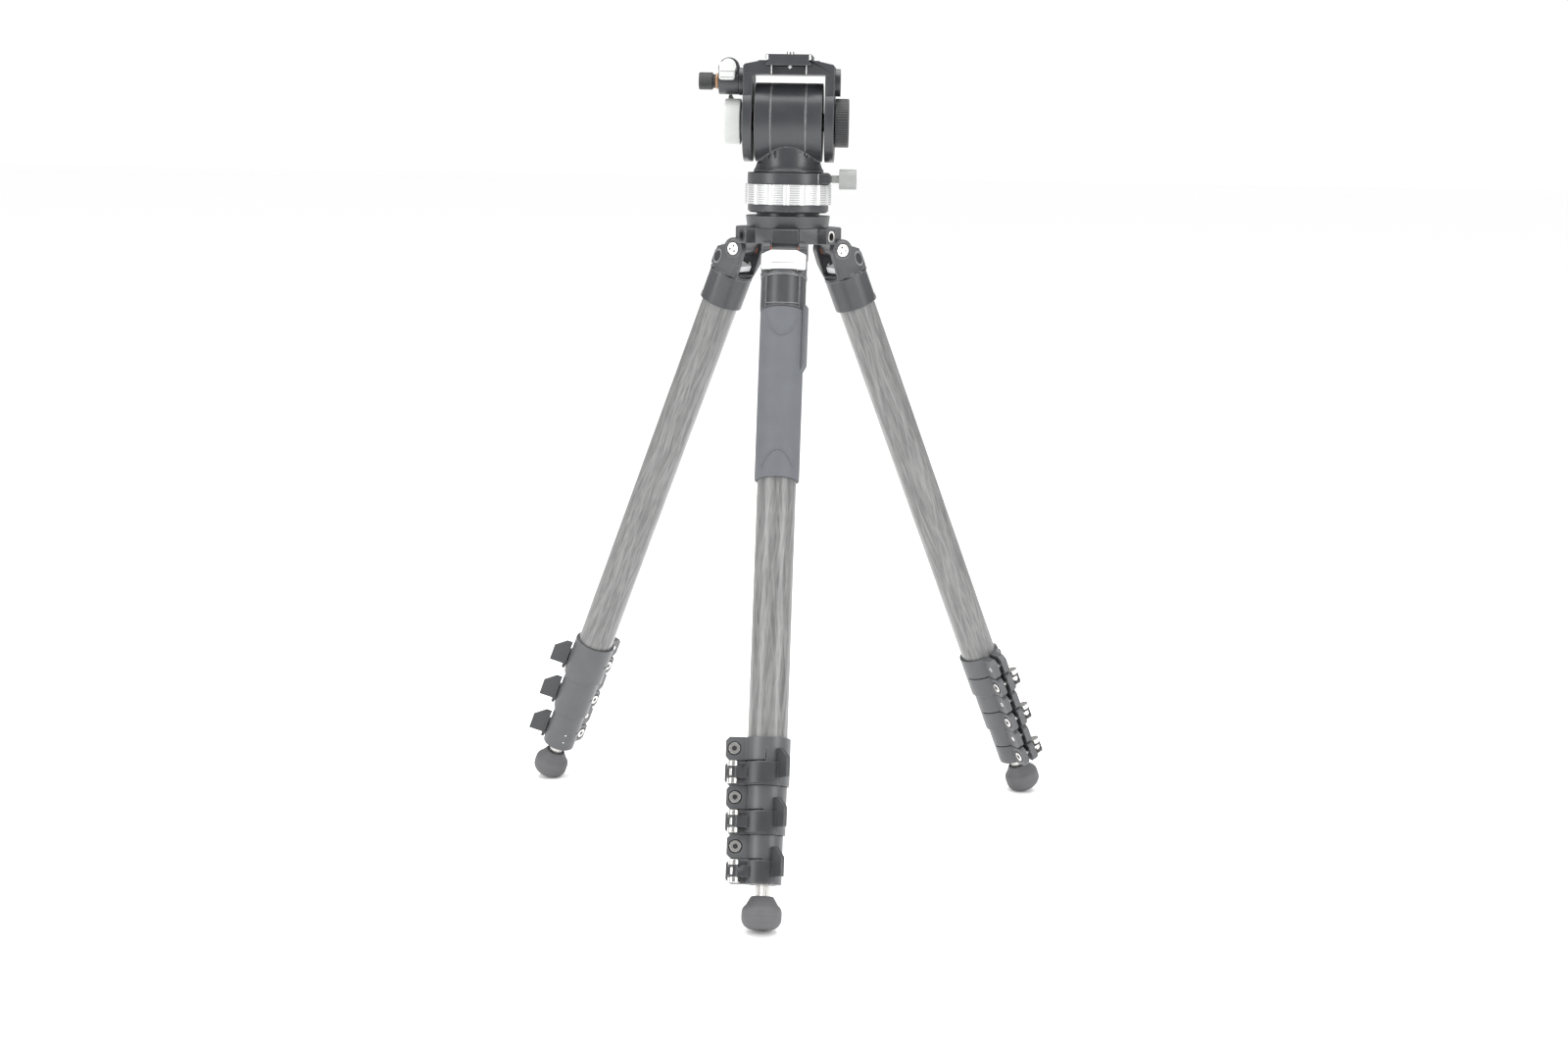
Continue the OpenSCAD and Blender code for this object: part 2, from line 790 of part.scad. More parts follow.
module level_ring() {
    flute_r = 4;
    color("silver")
        translate([0, 0, level_ring_z + run_gap])
            difference() {
                cylinder(r = level_ring_r, h = level_ring_h - 2 * run_gap);
                translate([0, 0, -1])
                    cylinder(r = level_hub_r + run_gap, h = level_ring_h + 2);
                for (n = [0 : level_flutes - 1])
                    rotate([0, 0, n * 360 / level_flutes])
                        translate([level_ring_r + flute_r - 0.8, 0, -1])
                            cylinder(r = flute_r, h = level_ring_h + 2, $fn = 48);
            }
}

// ---- Pan base and its lock ----

module pan_base() {
    boss_in = pan_base_r * 0.6;
    boss_out = pan_base_r + 1.5;
    color("dimgray")
        difference() {
            translate([0, 0, pan_base_z])
                union() {
                    cylinder(r = pan_base_r, h = pan_base_h);
                    translate([boss_in, -pan_screw_y - 6, 0.6])
                        cube([boss_out - boss_in, 12, pan_base_h - 1.2]);
                }
            translate([0, 0, pan_top_z - spigot_len - run_gap])
                cylinder(r = spigot_r + pin_fit, h = BIG);
            translate([0, -pan_screw_y, pan_base_z + pan_base_h / 2])
                along_x(boss_out - 10)
                    cylinder(r = clamp_screw_r + pin_fit, h = BIG);
        }
}

module pan_lock() {
    stud_in = pan_base_r - 8;
    knob_x = pan_base_r + 8.7;
    color("silver")
        translate([0, -pan_screw_y, pan_base_z + pan_base_h / 2]) {
            along_x(stud_in)
                cylinder(r = clamp_screw_r, h = knob_x - stud_in);
            along_x(pan_base_r + 2)
                cylinder(r = 3.2, h = knob_x - pan_base_r - 2);
            along_x(knob_x)
                cylinder(r = pan_knob_r, h = pan_knob_len);
        }
}

// ---- Head body ----

module head_body() {
    color("dimgray")
        difference() {
            union() {
                translate([0, 0, pan_top_z - spigot_len])
                    cylinder(r = spigot_r, h = spigot_len + 2);
                rotate_extrude()
                    neck_profile();
                translate([0, 0, tilt_z]) {
                    along_x(-drum_w / 2)
                        cylinder(r = drum_r, h = drum_w);
                    along_x(-shaft_end)
                        cylinder(r = shaft_r, h = 2 * shaft_end);
                }
            }
            for (side = [0, 1])
                mirror([side, 0, 0])
                    translate([0, 0, tilt_z]) {
                        along_x(shaft_end - 12)
                            cylinder(r = stud_r + pin_fit, h = BIG);
                        along_x(drum_w / 4)
                            ring(drum_r + 1, drum_r - 0.5, 1);
                    }
        }
}

module neck_profile() {
    base = pan_top_z + run_gap;
    polygon([[0, base], [neck_r, base], [neck_r, base + 1.5], [neck_r - 1.6, base + 4],
        [neck_waist_r, base + 9], [neck_waist_r - 1, tilt_z - drum_r * 0.6], [0, tilt_z - drum_r * 0.6]]);
}

// ---- Tilt cradle ----

module cradle_arms() {
    color("dimgray")
        for (side = [0, 1])
            mirror([side, 0, 0])
                difference() {
                    union() {
                        translate([0, 0, tilt_z])
                            along_x(side_in)
                                cylinder(r = side_arm_r, h = side_arm_t);
                        translate([side_in, -bridge_d / 2, tilt_z])
                            cube([side_arm_t, bridge_d, bridge_rise]);
                    }
                    translate([0, 0, tilt_z])
                        along_x(side_in - 1)
                            cylinder(r = shaft_r + pin_fit, h = side_arm_t + 2);
                    translate([0, 0, rosette_z])
                        along_x(side_out - 6)
                            cylinder(r = clamp_screw_r + pin_fit, h = BIG);
                }
}

module cradle_bridge() {
    color("dimgray")
        difference() {
            rotate([90, 0, 0])
                translate([0, 0, -bridge_d / 2])
                    linear_extrude(bridge_d)
                        bridge_profile();
            camera_plate_slot();
            translate([-channel_w / 2, -bridge_d / 2 - 1, bridge_z - 1])
                cube([channel_w, channel_depth + 1, plate_z - bridge_z + 2]);
        }
}

module bridge_profile() {
    jaw_out = plate_w / 2 + 7;
    edge = bridge_top_z - shoulder_drop;
    polygon([[-side_out, bridge_z], [side_out, bridge_z],
        [side_out, edge - 1.5], [side_out - 1.5, edge],
        [jaw_out, bridge_top_z + jaw_rise - 0.8], [jaw_out - 1, bridge_top_z + jaw_rise],
        [-jaw_out + 1, bridge_top_z + jaw_rise], [-jaw_out, bridge_top_z + jaw_rise - 0.8],
        [-side_out + 1.5, edge], [-side_out, edge - 1.5]]);
}

// Room for the plate and its slide, with plate_gap all round it
module camera_plate_slot() {
    rotate([90, 0, 0])
        translate([0, 0, -BIG / 2])
            linear_extrude(BIG) {
                plate_profile(plate_w / 2 + plate_gap, plate_waist, plate_gap);
                translate([-plate_w / 2 + plate_waist - plate_gap, plate_z])
                    square([plate_w - 2 * plate_waist + 2 * plate_gap, BIG]);
            }
}

// Dovetail section: full width at the foot, a waist for the jaws, full width on top
module plate_profile(half, waist, under) {
    low = plate_z - under;
    polygon([[-half, low], [half, low], [half, plate_z + 1.6],
        [half - waist, plate_z + 1.6 + waist], [half - waist, plate_z + plate_h - 4.4 + under],
        [-half + waist, plate_z + plate_h - 4.4 + under], [-half + waist, plate_z + 1.6 + waist],
        [-half, plate_z + 1.6]]);
}

module camera_plate() {
    color("dimgray")
        difference() {
            union() {
                rotate([90, 0, 0])
                    translate([0, 0, -plate_len / 2])
                        linear_extrude(plate_len)
                            plate_profile(plate_w / 2, plate_waist, 0);
                translate([-plate_w / 2, -plate_len / 2, plate_z + plate_h - 4.4])
                    cube([plate_w, plate_len, 4.4]);
            }
            translate([0, 0, plate_z - 1]) {
                cylinder(r = camera_screw_r - 0.6 + pin_fit, h = BIG);
                cylinder(r = 8.3, h = 4.3);
            }
            // relief round the screw's thread
            translate([0, 0, plate_z + plate_h - 0.8])
                cylinder(r = camera_screw_r + run_gap, h = 2);
        }
}

module camera_screw() {
    color("silver") {
        translate([0, 0, plate_z])
            cylinder(r = 8, h = 3);
        translate([0, 0, plate_z])
            cylinder(r = camera_screw_r - 0.6, h = plate_h + 0.2);
        translate([0, 0, plate_z + plate_h + 0.2])
            cylinder(r = camera_screw_r, h = camera_screw_len);
    }
}

module rosettes() {
    color("slategray")
        translate([0, 0, rosette_z])
            for (side = [0, 1])
                mirror([side, 0, 0])
                    difference() {
                        along_x(side_out)
                            cylinder(r = rosette_r, h = rosette_t);
                        along_x(side_out - 1)
                            cylinder(r = clamp_screw_r + pin_fit, h = BIG);
                        for (n = [0 : rosette_teeth - 1])
                            rotate([n * 360 / rosette_teeth, 0, 0])
                                translate([side_out + rosette_t, 0, rosette_r * 0.7])
                                    rotate([45, 0, 0])
                                        cube([1.6, 1, 1], center = true);
                    }
}

// ---- Side knobs ----

module drag_knob() {
    knob_in = shaft_end + run_gap;
    color("silver")
        translate([0, 0, tilt_z])
            mirror([1, 0, 0]) {
                along_x(shaft_end - 10)
                    cylinder(r = stud_r, h = 12);
                along_x(knob_in)
                    cylinder(r = 12, h = 2.5);
                along_x(knob_in + 2)
                    cylinder(r = drag_knob_r, h = drag_knob_len);
            }
}

module tilt_lock() {
    knob_in = shaft_end + run_gap;
    color("dimgray")
        translate([0, 0, tilt_z]) {
            along_x(shaft_end - 10)
                cylinder(r = stud_r, h = 12);
            along_x(knob_in)
                cylinder(r = lock_knob_r, h = lock_knob_len);
        }
}

// ---- Pan bar ----

// Frame on the bar's axis at its clamp, with +X back along the bar
module at_bar() {
    translate([-bar_x, 0, rosette_z + bar_rise])
        rotate([0, bar_slope, 90])
            children();
}

module bar_clamp() {
    color("dimgray")
        difference() {
            union() {
                translate([0, 0, rosette_z])
                    along_x(-clamp_x - clamp_w)
                        cylinder(r = rosette_r - 0.5, h = clamp_w);
                at_bar()
                    along_x(-clamp_d / 2)
                        cylinder(r = clamp_ring_r, h = clamp_d);
            }
            at_bar()
                along_x(-BIG / 2)
                    cylinder(r = bar_r + seat_fit, h = BIG);
            translate([0, 0, rosette_z])
                along_x(-BIG / 2)
                    cylinder(r = clamp_screw_r + pin_fit, h = BIG);
            // flat face against the rosette
            translate([-clamp_x, -BIG / 2, rosette_z - BIG / 2])
                cube(BIG);
        }
}

module bar_clamp_screw() {
    screw_in = clamp_x - rosette_t - run_gap - 4;
    knob_in = clamp_x + clamp_w + run_gap;
    color("dimgray")
        translate([0, 0, rosette_z])
            mirror([1, 0, 0]) {
                along_x(screw_in)
                    cylinder(r = clamp_screw_r, h = knob_in - screw_in + 2);
                along_x(knob_in)
                    cylinder(r = 5.8, h = 5);
                along_x(knob_in + 5)
                    cylinder(r = clamp_knob_r, h = 11.7);
            }
}

module pan_bar() {
    end_wall = 4;
    color("silver")
        at_bar()
            along_x(-bar_front)
                cylinder(r = bar_r, h = bar_front + bar_back - end_wall - seat_fit);
    color("dimgray")
        at_bar()
            along_x(bar_back - bar_grip_len)
                difference() {
                    cylinder(r = bar_grip_r, h = bar_grip_len);
                    translate([0, 0, -1])
                        cylinder(r = bar_r + seat_fit, h = bar_grip_len - end_wall + 1);
                }
}

for (k = [0 : 2])
    for (part = LEG_PARTS)
        union() {
            if (part == "casting") casting(k);
            if (part == "angle_tab") angle_tab(k);
            if (part == "foot") foot(k);
            for (i = [0 : 3]) {
                if (part == str("tube_", i + 1)) leg_tube(i, k);
                if (part == str("collar_", i + 1)) collar(i, k);
                if (part == str("lever_", i + 1)) lever(i, k);
            }
        }
leg_grip();
spider();
bowl();
hip_pins();
hip_washers();
level_ball();
level_base();
level_ring();
pan_base();
pan_lock();
head_body();
cradle_bridge();
cradle_arms();
rosettes();
camera_plate();
camera_screw();
drag_knob();
tilt_lock();
bar_clamp();
bar_clamp_screw();
pan_bar();
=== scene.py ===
# Looks, camera and light of a tripod with a fluid head.
# Every length is in metres, in the CAD frame: Z up, the front leg towards -Y,
# the pan bar back towards +Y.
import json
import math

import bmesh
import bpy
import numpy as np
from mathutils import Matrix, Vector
from mathutils.bvhtree import BVHTree

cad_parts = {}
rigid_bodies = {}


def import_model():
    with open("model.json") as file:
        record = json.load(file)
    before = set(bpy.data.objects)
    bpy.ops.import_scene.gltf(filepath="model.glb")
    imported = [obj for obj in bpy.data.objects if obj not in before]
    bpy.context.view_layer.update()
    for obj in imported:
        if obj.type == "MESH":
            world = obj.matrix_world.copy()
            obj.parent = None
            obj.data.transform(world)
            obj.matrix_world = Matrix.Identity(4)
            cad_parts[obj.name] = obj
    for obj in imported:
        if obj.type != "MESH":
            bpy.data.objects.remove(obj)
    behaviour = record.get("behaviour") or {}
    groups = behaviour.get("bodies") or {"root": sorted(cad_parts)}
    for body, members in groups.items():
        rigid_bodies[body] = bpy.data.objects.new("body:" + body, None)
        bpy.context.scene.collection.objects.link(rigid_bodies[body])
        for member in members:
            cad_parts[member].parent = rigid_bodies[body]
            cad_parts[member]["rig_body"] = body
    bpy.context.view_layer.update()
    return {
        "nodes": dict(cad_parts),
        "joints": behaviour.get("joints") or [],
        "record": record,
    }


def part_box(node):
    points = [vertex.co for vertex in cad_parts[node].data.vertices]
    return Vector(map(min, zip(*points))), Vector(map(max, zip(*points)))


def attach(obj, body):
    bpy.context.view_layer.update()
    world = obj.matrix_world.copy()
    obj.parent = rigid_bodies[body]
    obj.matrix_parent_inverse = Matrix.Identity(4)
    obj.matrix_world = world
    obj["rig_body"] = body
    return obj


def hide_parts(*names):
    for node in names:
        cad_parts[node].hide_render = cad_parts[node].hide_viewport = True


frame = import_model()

MM = 0.001
SIDES = ("front", "left", "right")
JOINTS = {joint["name"]: joint for joint in frame["joints"]}

# ---- Camera ----

PHOTO_W, PHOTO_H = 1568, 1044.68
LENS, SENSOR_WIDTH = 49.02, 36.0
SHIFT_X, SHIFT_Y = 0.0, 0.0
CAMERA_AT = Vector((0.08473, -1.84744, 0.61411))
LOOK_AZIMUTH, LOOK_DOWN, ROLL = 92.601, 10.286, 0.913  # degrees

# ---- Image points ----

# Places in the photograph scaled to 1568 across. An edge has one coordinate.
POINTS = {
    "left_edge": (529.2, None),
    "right_edge": (1044.7, None),
    "top_edge": (None, 51.0),
    "left_hip_cap": (732.3, 247.2),
    "right_hip_cap": (844.4, 249.5),
    "drag_knob": (734.4, 122.3),
    "tilt_lock": (842.6, 125.0),
    "pan_lock": (843.9, 179.4),
    "clamp_knob": (705.7, 80.4),
    "level_ring": (789.0, 195.2),
    "tab_line": (785.0, 262.4),
    "left_foot": (550.8, 761.2),
    "right_foot": (1021.9, 774.9),
    "grip_arch": (781.9, 325.9),
    "grip_flap": (806.5, 339.0),
    "casting_oval": (858.7, 258.2),
    "casting_screw": (749.4, 263.4),
    "plate_stud": (790.0, 66.8),
    "collar_dot": (563.1, 742.6),
    "port_insert": (833.6, 237.2),
}

# ---- Sizes that the looks share with the source ----

TUBE_OFFSET = 4.1 * MM  # tube axis outside the hip pin
SLEEVE_R = 18.8 * MM
SLEEVE_TOP, SLEEVE_END = 24 * MM, 54 * MM
EAR_FACE = 18.6 * MM  # outer face of a casting's ear, from the leg's middle
HIP_CAP_FACE = 19.2 * MM
TUBE_R = [16 * MM, 14.2 * MM, 12.4 * MM, 10.6 * MM]
COLLAR_R = [18.6 * MM, 16.8 * MM, 15 * MM]
LOCK_GAP, BAND_CUT = 0.3 * MM, 0.9 * MM
LUG_REACH = 14 * MM
BAR_DROP = 8.3 * MM  # middle of the bar's front end above the rosette
GRIP_WALL = 2.4 * MM
TAB_FACE = 16 * MM  # outer face of the angle tab, from the tube axis
DRUM_W = 57 * MM
PORT_FACE = 44 * MM

MOUNTS = {mount["name"]: mount for mount in frame["record"]["mounts"]}
TILT = Vector(JOINTS["tilt"]["pos_m"])
ROSETTE = Vector(JOINTS["bar_angle"]["pos_m"])


def leg_frame(side):
    """A leg's own frame: on its tube's axis beside the hip pin, X outward, Z up the leg."""
    out = Vector(JOINTS[f"angle_tab_{side}_pull"]["axis"])
    up = -Vector(JOINTS[f"section_2_{side}_slide"]["axis"])
    across = up.cross(out)
    at = Vector(JOINTS[f"leg_fold_{side}"]["pos_m"]) + TUBE_OFFSET * out
    turn = Matrix((out, across, up)).transposed().to_4x4()
    return Matrix.Translation(at) @ turn


LEG = {side: leg_frame(side) for side in SIDES}
# Each lock's middle below the hip, from the axes of its levers
LOCK_MIDDLE = [-(LEG["front"].inverted() @ Vector(JOINTS[f"lever_{n}_front_open"]["pos_m"])).z for n in (1, 2, 3)]
LOCK_PITCH = LOCK_MIDDLE[1] - LOCK_MIDDLE[0]
LOCK_H = LOCK_PITCH - LOCK_GAP
BAND_H = (LOCK_H - BAND_CUT) / 2
LOCK_START = LOCK_MIDDLE[0] - LOCK_H / 2
UPRIGHT = Matrix.Identity(4)
# Frame whose Z is the drum's axis, towards +X
DRUM = Matrix.Translation(TILT) @ Matrix.Rotation(math.radians(90), 4, "Y")
ROSETTE_AXIS = Matrix.Translation(ROSETTE) @ Matrix.Rotation(math.radians(90), 4, "Y")


def make_camera():
    azimuth, down, roll = map(math.radians, (LOOK_AZIMUTH, LOOK_DOWN, ROLL))
    ahead = Vector((math.cos(down) * math.cos(azimuth), math.cos(down) * math.sin(azimuth), -math.sin(down)))
    level = ahead.cross(Vector((0, 0, 1))).normalized()
    right = Matrix.Rotation(-roll, 3, ahead) @ level
    if right.z < 0:
        right = Matrix.Rotation(roll, 3, ahead) @ level
    axes = Matrix((right, right.cross(ahead), -ahead)).transposed()
    data = bpy.data.cameras.new("camera")
    data.lens, data.sensor_width, data.sensor_fit = LENS, SENSOR_WIDTH, "AUTO"
    data.shift_x, data.shift_y = SHIFT_X, SHIFT_Y
    data.clip_start, data.clip_end = 0.01, 100
    camera = bpy.data.objects.new("camera", data)
    camera.matrix_world = Matrix.Translation(CAMERA_AT) @ axes.to_4x4()
    bpy.context.scene.collection.objects.link(camera)
    bpy.context.scene.camera = camera
    return axes


CAMERA_AXES = make_camera()
LONG_SIDE = max(PHOTO_W, PHOTO_H)


def ray_through(point):
    """Direction of the camera's ray through an image point."""
    x, y = point
    away = Vector((x - PHOTO_W / 2 + SHIFT_X * LONG_SIDE, PHOTO_H / 2 - y + SHIFT_Y * LONG_SIDE,
                   -LONG_SIDE * LENS / SENSOR_WIDTH))
    return (CAMERA_AXES @ away).normalized()


def images_of(places):
    """Image points of rows of places."""
    own = (np.asarray(places) - np.array(CAMERA_AT)) @ np.array(CAMERA_AXES)
    reach = LONG_SIDE * LENS / SENSOR_WIDTH / -own[:, 2]
    return np.column_stack((PHOTO_W / 2 - SHIFT_X * LONG_SIDE + own[:, 0] * reach,
                            PHOTO_H / 2 + SHIFT_Y * LONG_SIDE - own[:, 1] * reach))


def place_on(point, carrier):
    """Where an image point's ray meets a finished piece, or passes nearest, and the normal there."""
    tree = BVHTree.FromObject(carrier, bpy.context.evaluated_depsgraph_get())
    ahead = ray_through(point)
    at, normal, _, _ = tree.ray_cast(CAMERA_AT, ahead)
    if at is None:
        reach = ahead.dot(Vector(carrier.bound_box[0]) - CAMERA_AT)
        for _ in range(8):
            at, normal, _, _ = tree.find_nearest(CAMERA_AT + reach * ahead)
            reach = ahead.dot(at - CAMERA_AT)
    return at, normal


def facing(at, normal, upward):
    """A frame on a surface: Z out of it, and Y as near upward as it goes."""
    across = upward.cross(normal).normalized()
    return Matrix.Translation(at) @ Matrix((across, normal.cross(across), normal)).transposed().to_4x4()


# ---- Node groups ----


def new_group(name, inputs, outputs):
    """An empty shader group; inputs and outputs are (name, kind, default)."""
    group = bpy.data.node_groups.new(name, "ShaderNodeTree")
    for label, kind, default in inputs:
        socket = group.interface.new_socket(label, in_out="INPUT", socket_type=kind)
        if default is not None:
            socket.default_value = default
    for label, kind in outputs:
        group.interface.new_socket(label, in_out="OUTPUT", socket_type=kind)
    return group, group.nodes.new("NodeGroupInput"), group.nodes.new("NodeGroupOutput")


def add(tree, kind, **settings):
    node = tree.nodes.new(kind)
    for key, value in settings.items():
        setattr(node, key, value)
    return node


def feed(tree, node, **inputs):
    """Sets each named input of a node, or links it where the value is a socket."""
    for key, value in inputs.items():
        socket = node.inputs[int(key[1:])] if key[0] == "i" and key[1:].isdigit() else node.inputs[key.replace("_", " ")]
        if isinstance(value, bpy.types.NodeSocket):
            tree.links.new(value, socket)
        else:
            socket.default_value = value
    return node


def maths(tree, operation, first, second=0.0, clamp=False):
    node = add(tree, "ShaderNodeMath", operation=operation, use_clamp=clamp)
    return feed(tree, node, i0=first, i1=second).outputs[0]


def place_of(tree):
    """The piece's own place, in metres, in the frame of the part that it belongs to."""
    return add(tree, "ShaderNodeAttribute", attribute_name="place").outputs["Vector"]


def edge_wear_and_highlight_group():
    """Mask of edges, broken up by noise, for a lighter edge colour: partly rubbing of the coat, partly painted
    highlight.
    """
    group, given, result = new_group(
        "edge rubbing and painted highlight",
        [("Width", "NodeSocketFloat", 0.0006), ("Amount", "NodeSocketFloat", 1.0)],
        [("Mask", "NodeSocketFloat")],
    )
    rounded = feed(group, add(group, "ShaderNodeBevel", samples=4), Radius=given.outputs["Width"])
    flat = add(group, "ShaderNodeNewGeometry")
    dot = add(group, "ShaderNodeVectorMath", operation="DOT_PRODUCT")
    feed(group, dot, i0=rounded.outputs[0], i1=flat.outputs["Normal"])
    bent = maths(group, "SUBTRACT", 1.0, dot.outputs["Value"], clamp=True)
    patches = feed(group, add(group, "ShaderNodeTexNoise"), Vector=place_of(group), Scale=260.0, Detail=3.0)
    rubbed_and_lit = maths(group, "MULTIPLY", maths(group, "MULTIPLY", bent, 5.0, clamp=True), patches.outputs[0])
    group.links.new(maths(group, "MULTIPLY", rubbed_and_lit, given.outputs["Amount"], clamp=True), result.inputs["Mask"])
    return group


def grain_group():
    """Fine grain of a blasted, moulded or cast surface, with slow uneven patches."""
    group, given, result = new_group(
        "grain",
        [("Size", "NodeSocketFloat", 0.0003)],
        [("Height", "NodeSocketFloat"), ("Patches", "NodeSocketFloat")],
    )
    scale = maths(group, "DIVIDE", 1.0, given.outputs["Size"])
    place = place_of(group)
    fine = feed(group, add(group, "ShaderNodeTexNoise"), Vector=place, Scale=scale, Detail=2.0)
    slow = feed(group, add(group, "ShaderNodeTexNoise"), Vector=place, Scale=55.0, Detail=4.0)
    group.links.new(fine.outputs[0], result.inputs["Height"])
    group.links.new(slow.outputs[0], result.inputs["Patches"])
    return group


def turned_group():
    """Fine lines that a lathe leaves round the Z axis of the part's frame."""
    group, given, result = new_group(
        "turned",
        [("Pitch", "NodeSocketFloat", 0.0003)],
        [("Lines", "NodeSocketFloat")],
    )
    split = feed(group, add(group, "ShaderNodeSeparateXYZ"), Vector=place_of(group))
    square = maths(group, "ADD", maths(group, "MULTIPLY", split.outputs[0], split.outputs[0]),
                   maths(group, "MULTIPLY", split.outputs[1], split.outputs[1]))
    radius = maths(group, "SQRT", square)
    along = feed(group, add(group, "ShaderNodeCombineXYZ"), X=radius, Z=split.outputs[2])
    scale = maths(group, "DIVIDE", 1.0, given.outputs["Pitch"])
    lines = feed(group, add(group, "ShaderNodeTexNoise"), Vector=along.outputs[0], Scale=scale, Detail=1.0)
    group.links.new(lines.outputs[0], result.inputs["Lines"])
    return group


def roving_group():
    """Carbon rovings wound round a tube: long lozenges of two slightly crossed layers."""
    group, given, result = new_group(
        "rovings",
        [("Length", "NodeSocketFloat", 0.05), ("Width", "NodeSocketFloat", 0.0022)],
        [("Shade", "NodeSocketFloat"), ("Threads", "NodeSocketFloat")],
    )
    split = feed(group, add(group, "ShaderNodeSeparateXYZ"), Vector=place_of(group))
    angle = maths(group, "ARCTAN2", split.outputs[1], split.outputs[0])
    round_tube = maths(group, "MULTIPLY", angle, 0.016)
    layers = []
    for slope, seed in ((0.07, 0.0), (-0.11, 3.7)):
        leaning = maths(group, "ADD", round_tube, maths(group, "MULTIPLY", split.outputs[2], slope))
        across = maths(group, "DIVIDE", leaning, given.outputs["Width"])
        down = maths(group, "DIVIDE", split.outputs[2], given.outputs["Length"])
        at = feed(group, add(group, "ShaderNodeCombineXYZ"), X=across, Y=down, Z=seed)
        noise = feed(group, add(group, "ShaderNodeTexNoise"), Vector=at.outputs[0], Scale=1.0, Detail=2.0)
        layers.append(noise.outputs[0])
    lozenge = maths(group, "MAXIMUM", layers[0], layers[1])
    thread_at = feed(group, add(group, "ShaderNodeCombineXYZ"),
                     X=maths(group, "MULTIPLY", round_tube, 3500.0), Y=maths(group, "MULTIPLY", split.outputs[2], 60.0))
    threads = feed(group, add(group, "ShaderNodeTexNoise"), Vector=thread_at.outputs[0], Scale=1.0, Detail=1.0)
    group.links.new(lozenge, result.inputs["Shade"])
    group.links.new(threads.outputs[0], result.inputs["Threads"])
    return group


def rib_group():
    """Straight ribs along the Z axis of the part's frame, spaced evenly round it."""
    group, given, result = new_group("ribs", [("Count", "NodeSocketFloat", 24.0)], [("Height", "NodeSocketFloat")])
    split = feed(group, add(group, "ShaderNodeSeparateXYZ"), Vector=place_of(group))
    angle = maths(group, "ARCTAN2", split.outputs[1], split.outputs[0])
    wave = maths(group, "SINE", maths(group, "MULTIPLY", angle, given.outputs["Count"]))
    group.links.new(maths(group, "ADD", maths(group, "MULTIPLY", wave, 0.5), 0.5), result.inputs["Height"])
    return group


EDGE_WEAR_AND_HIGHLIGHT = edge_wear_and_highlight_group()
RIBS = rib_group()
GRAIN = grain_group()
TURNED = turned_group()
ROVINGS = roving_group()


# ---- Materials ----


def new_material(name, **shader_settings):
    material = bpy.data.materials.new(name)
    material.use_nodes = True
    tree = material.node_tree
    shader = tree.nodes["Principled BSDF"]
    for key, value in shader_settings.items():
        shader.inputs[key.replace("_", " ")].default_value = value
    return material, tree, shader


def use_group(tree, group, **values):
    node = add(tree, "ShaderNodeGroup", node_tree=group)
    return feed(tree, node, **values)


def blend_colours(tree, mask, low, high):
    node = add(tree, "ShaderNodeMix", data_type="RGBA")
    feed(tree, node, i0=mask)
    node.inputs[6].default_value = (*low, 1)
    if isinstance(high, bpy.types.NodeSocket):
        tree.links.new(high, node.inputs[7])
    else:
        node.inputs[7].default_value = (*high, 1)
    return node.outputs[2]


def over(tree, mask, under, top):
    """A colour laid over a linked colour where the mask is 1."""
    node = add(tree, "ShaderNodeMix", data_type="RGBA")
    feed(tree, node, i0=mask)
    tree.links.new(under, node.inputs[6])
    node.inputs[7].default_value = (*top, 1)
    return node.outputs[2]


def spread(tree, value, low, high):
    """A 0 to 1 value moved to low to high."""
    node = add(tree, "ShaderNodeMapRange")
    return feed(tree, node, Value=value, To_Min=low, To_Max=high).outputs[0]


def bump(tree, shader, height, distance, strength=1.0):
    node = add(tree, "ShaderNodeBump")
    feed(tree, node, Height=height, Distance=distance, Strength=strength)
    tree.links.new(node.outputs[0], shader.inputs["Normal"])


def coated_metal(name, dark, light, rough, worn_and_lit, grain=0.00035, coat=0.0, depth=0.00002, wear_and_highlight=0.6):
    """Anodised or painted metal: blasted grain, uneven sheen, and a lighter colour on the edges that is partly rubbing
    and partly painted highlight.
    """
    material, tree, shader = new_material(name, Coat_Weight=coat, Coat_Roughness=0.25)
    surface = use_group(tree, GRAIN, Size=grain)
    edges = use_group(tree, EDGE_WEAR_AND_HIGHLIGHT, Amount=wear_and_highlight)
    colour = blend_colours(tree, surface.outputs["Patches"], dark, light)
    # The edges take the lighter colour: partly rubbing of the coat, partly painted highlight.
    tree.links.new(over(tree, edges.outputs["Mask"], colour, worn_and_lit), shader.inputs["Base Color"])
    tree.links.new(spread(tree, surface.outputs["Patches"], rough - 0.06, rough + 0.06), shader.inputs["Roughness"])
    bump(tree, shader, surface.outputs["Height"], depth)
    return material


def bare_metal(name, dark, light, rough, pitch=0.0003, depth=0.000015):
    """Turned bare or clear anodised metal."""
    material, tree, shader = new_material(name, Metallic=1.0)
    lines = use_group(tree, TURNED, Pitch=pitch)
    surface = use_group(tree, GRAIN, Size=0.0004)
    tree.links.new(blend_colours(tree, surface.outputs["Patches"], dark, light), shader.inputs["Base Color"])
    tree.links.new(spread(tree, lines.outputs["Lines"], rough - 0.08, rough + 0.08), shader.inputs["Roughness"])
    bump(tree, shader, lines.outputs["Lines"], depth)
    return material


def soft_rubber(name, dark, light, rough, grain, depth):
    """Moulded rubber or foam."""
    material, tree, shader = new_material(name, Specular_IOR_Level=0.35)
    surface = use_group(tree, GRAIN, Size=grain)
    tree.links.new(blend_colours(tree, surface.outputs["Patches"], dark, light), shader.inputs["Base Color"])
    tree.links.new(spread(tree, surface.outputs["Height"], rough - 0.08, rough + 0.08), shader.inputs["Roughness"])
    bump(tree, shader, surface.outputs["Height"], depth)
    return material


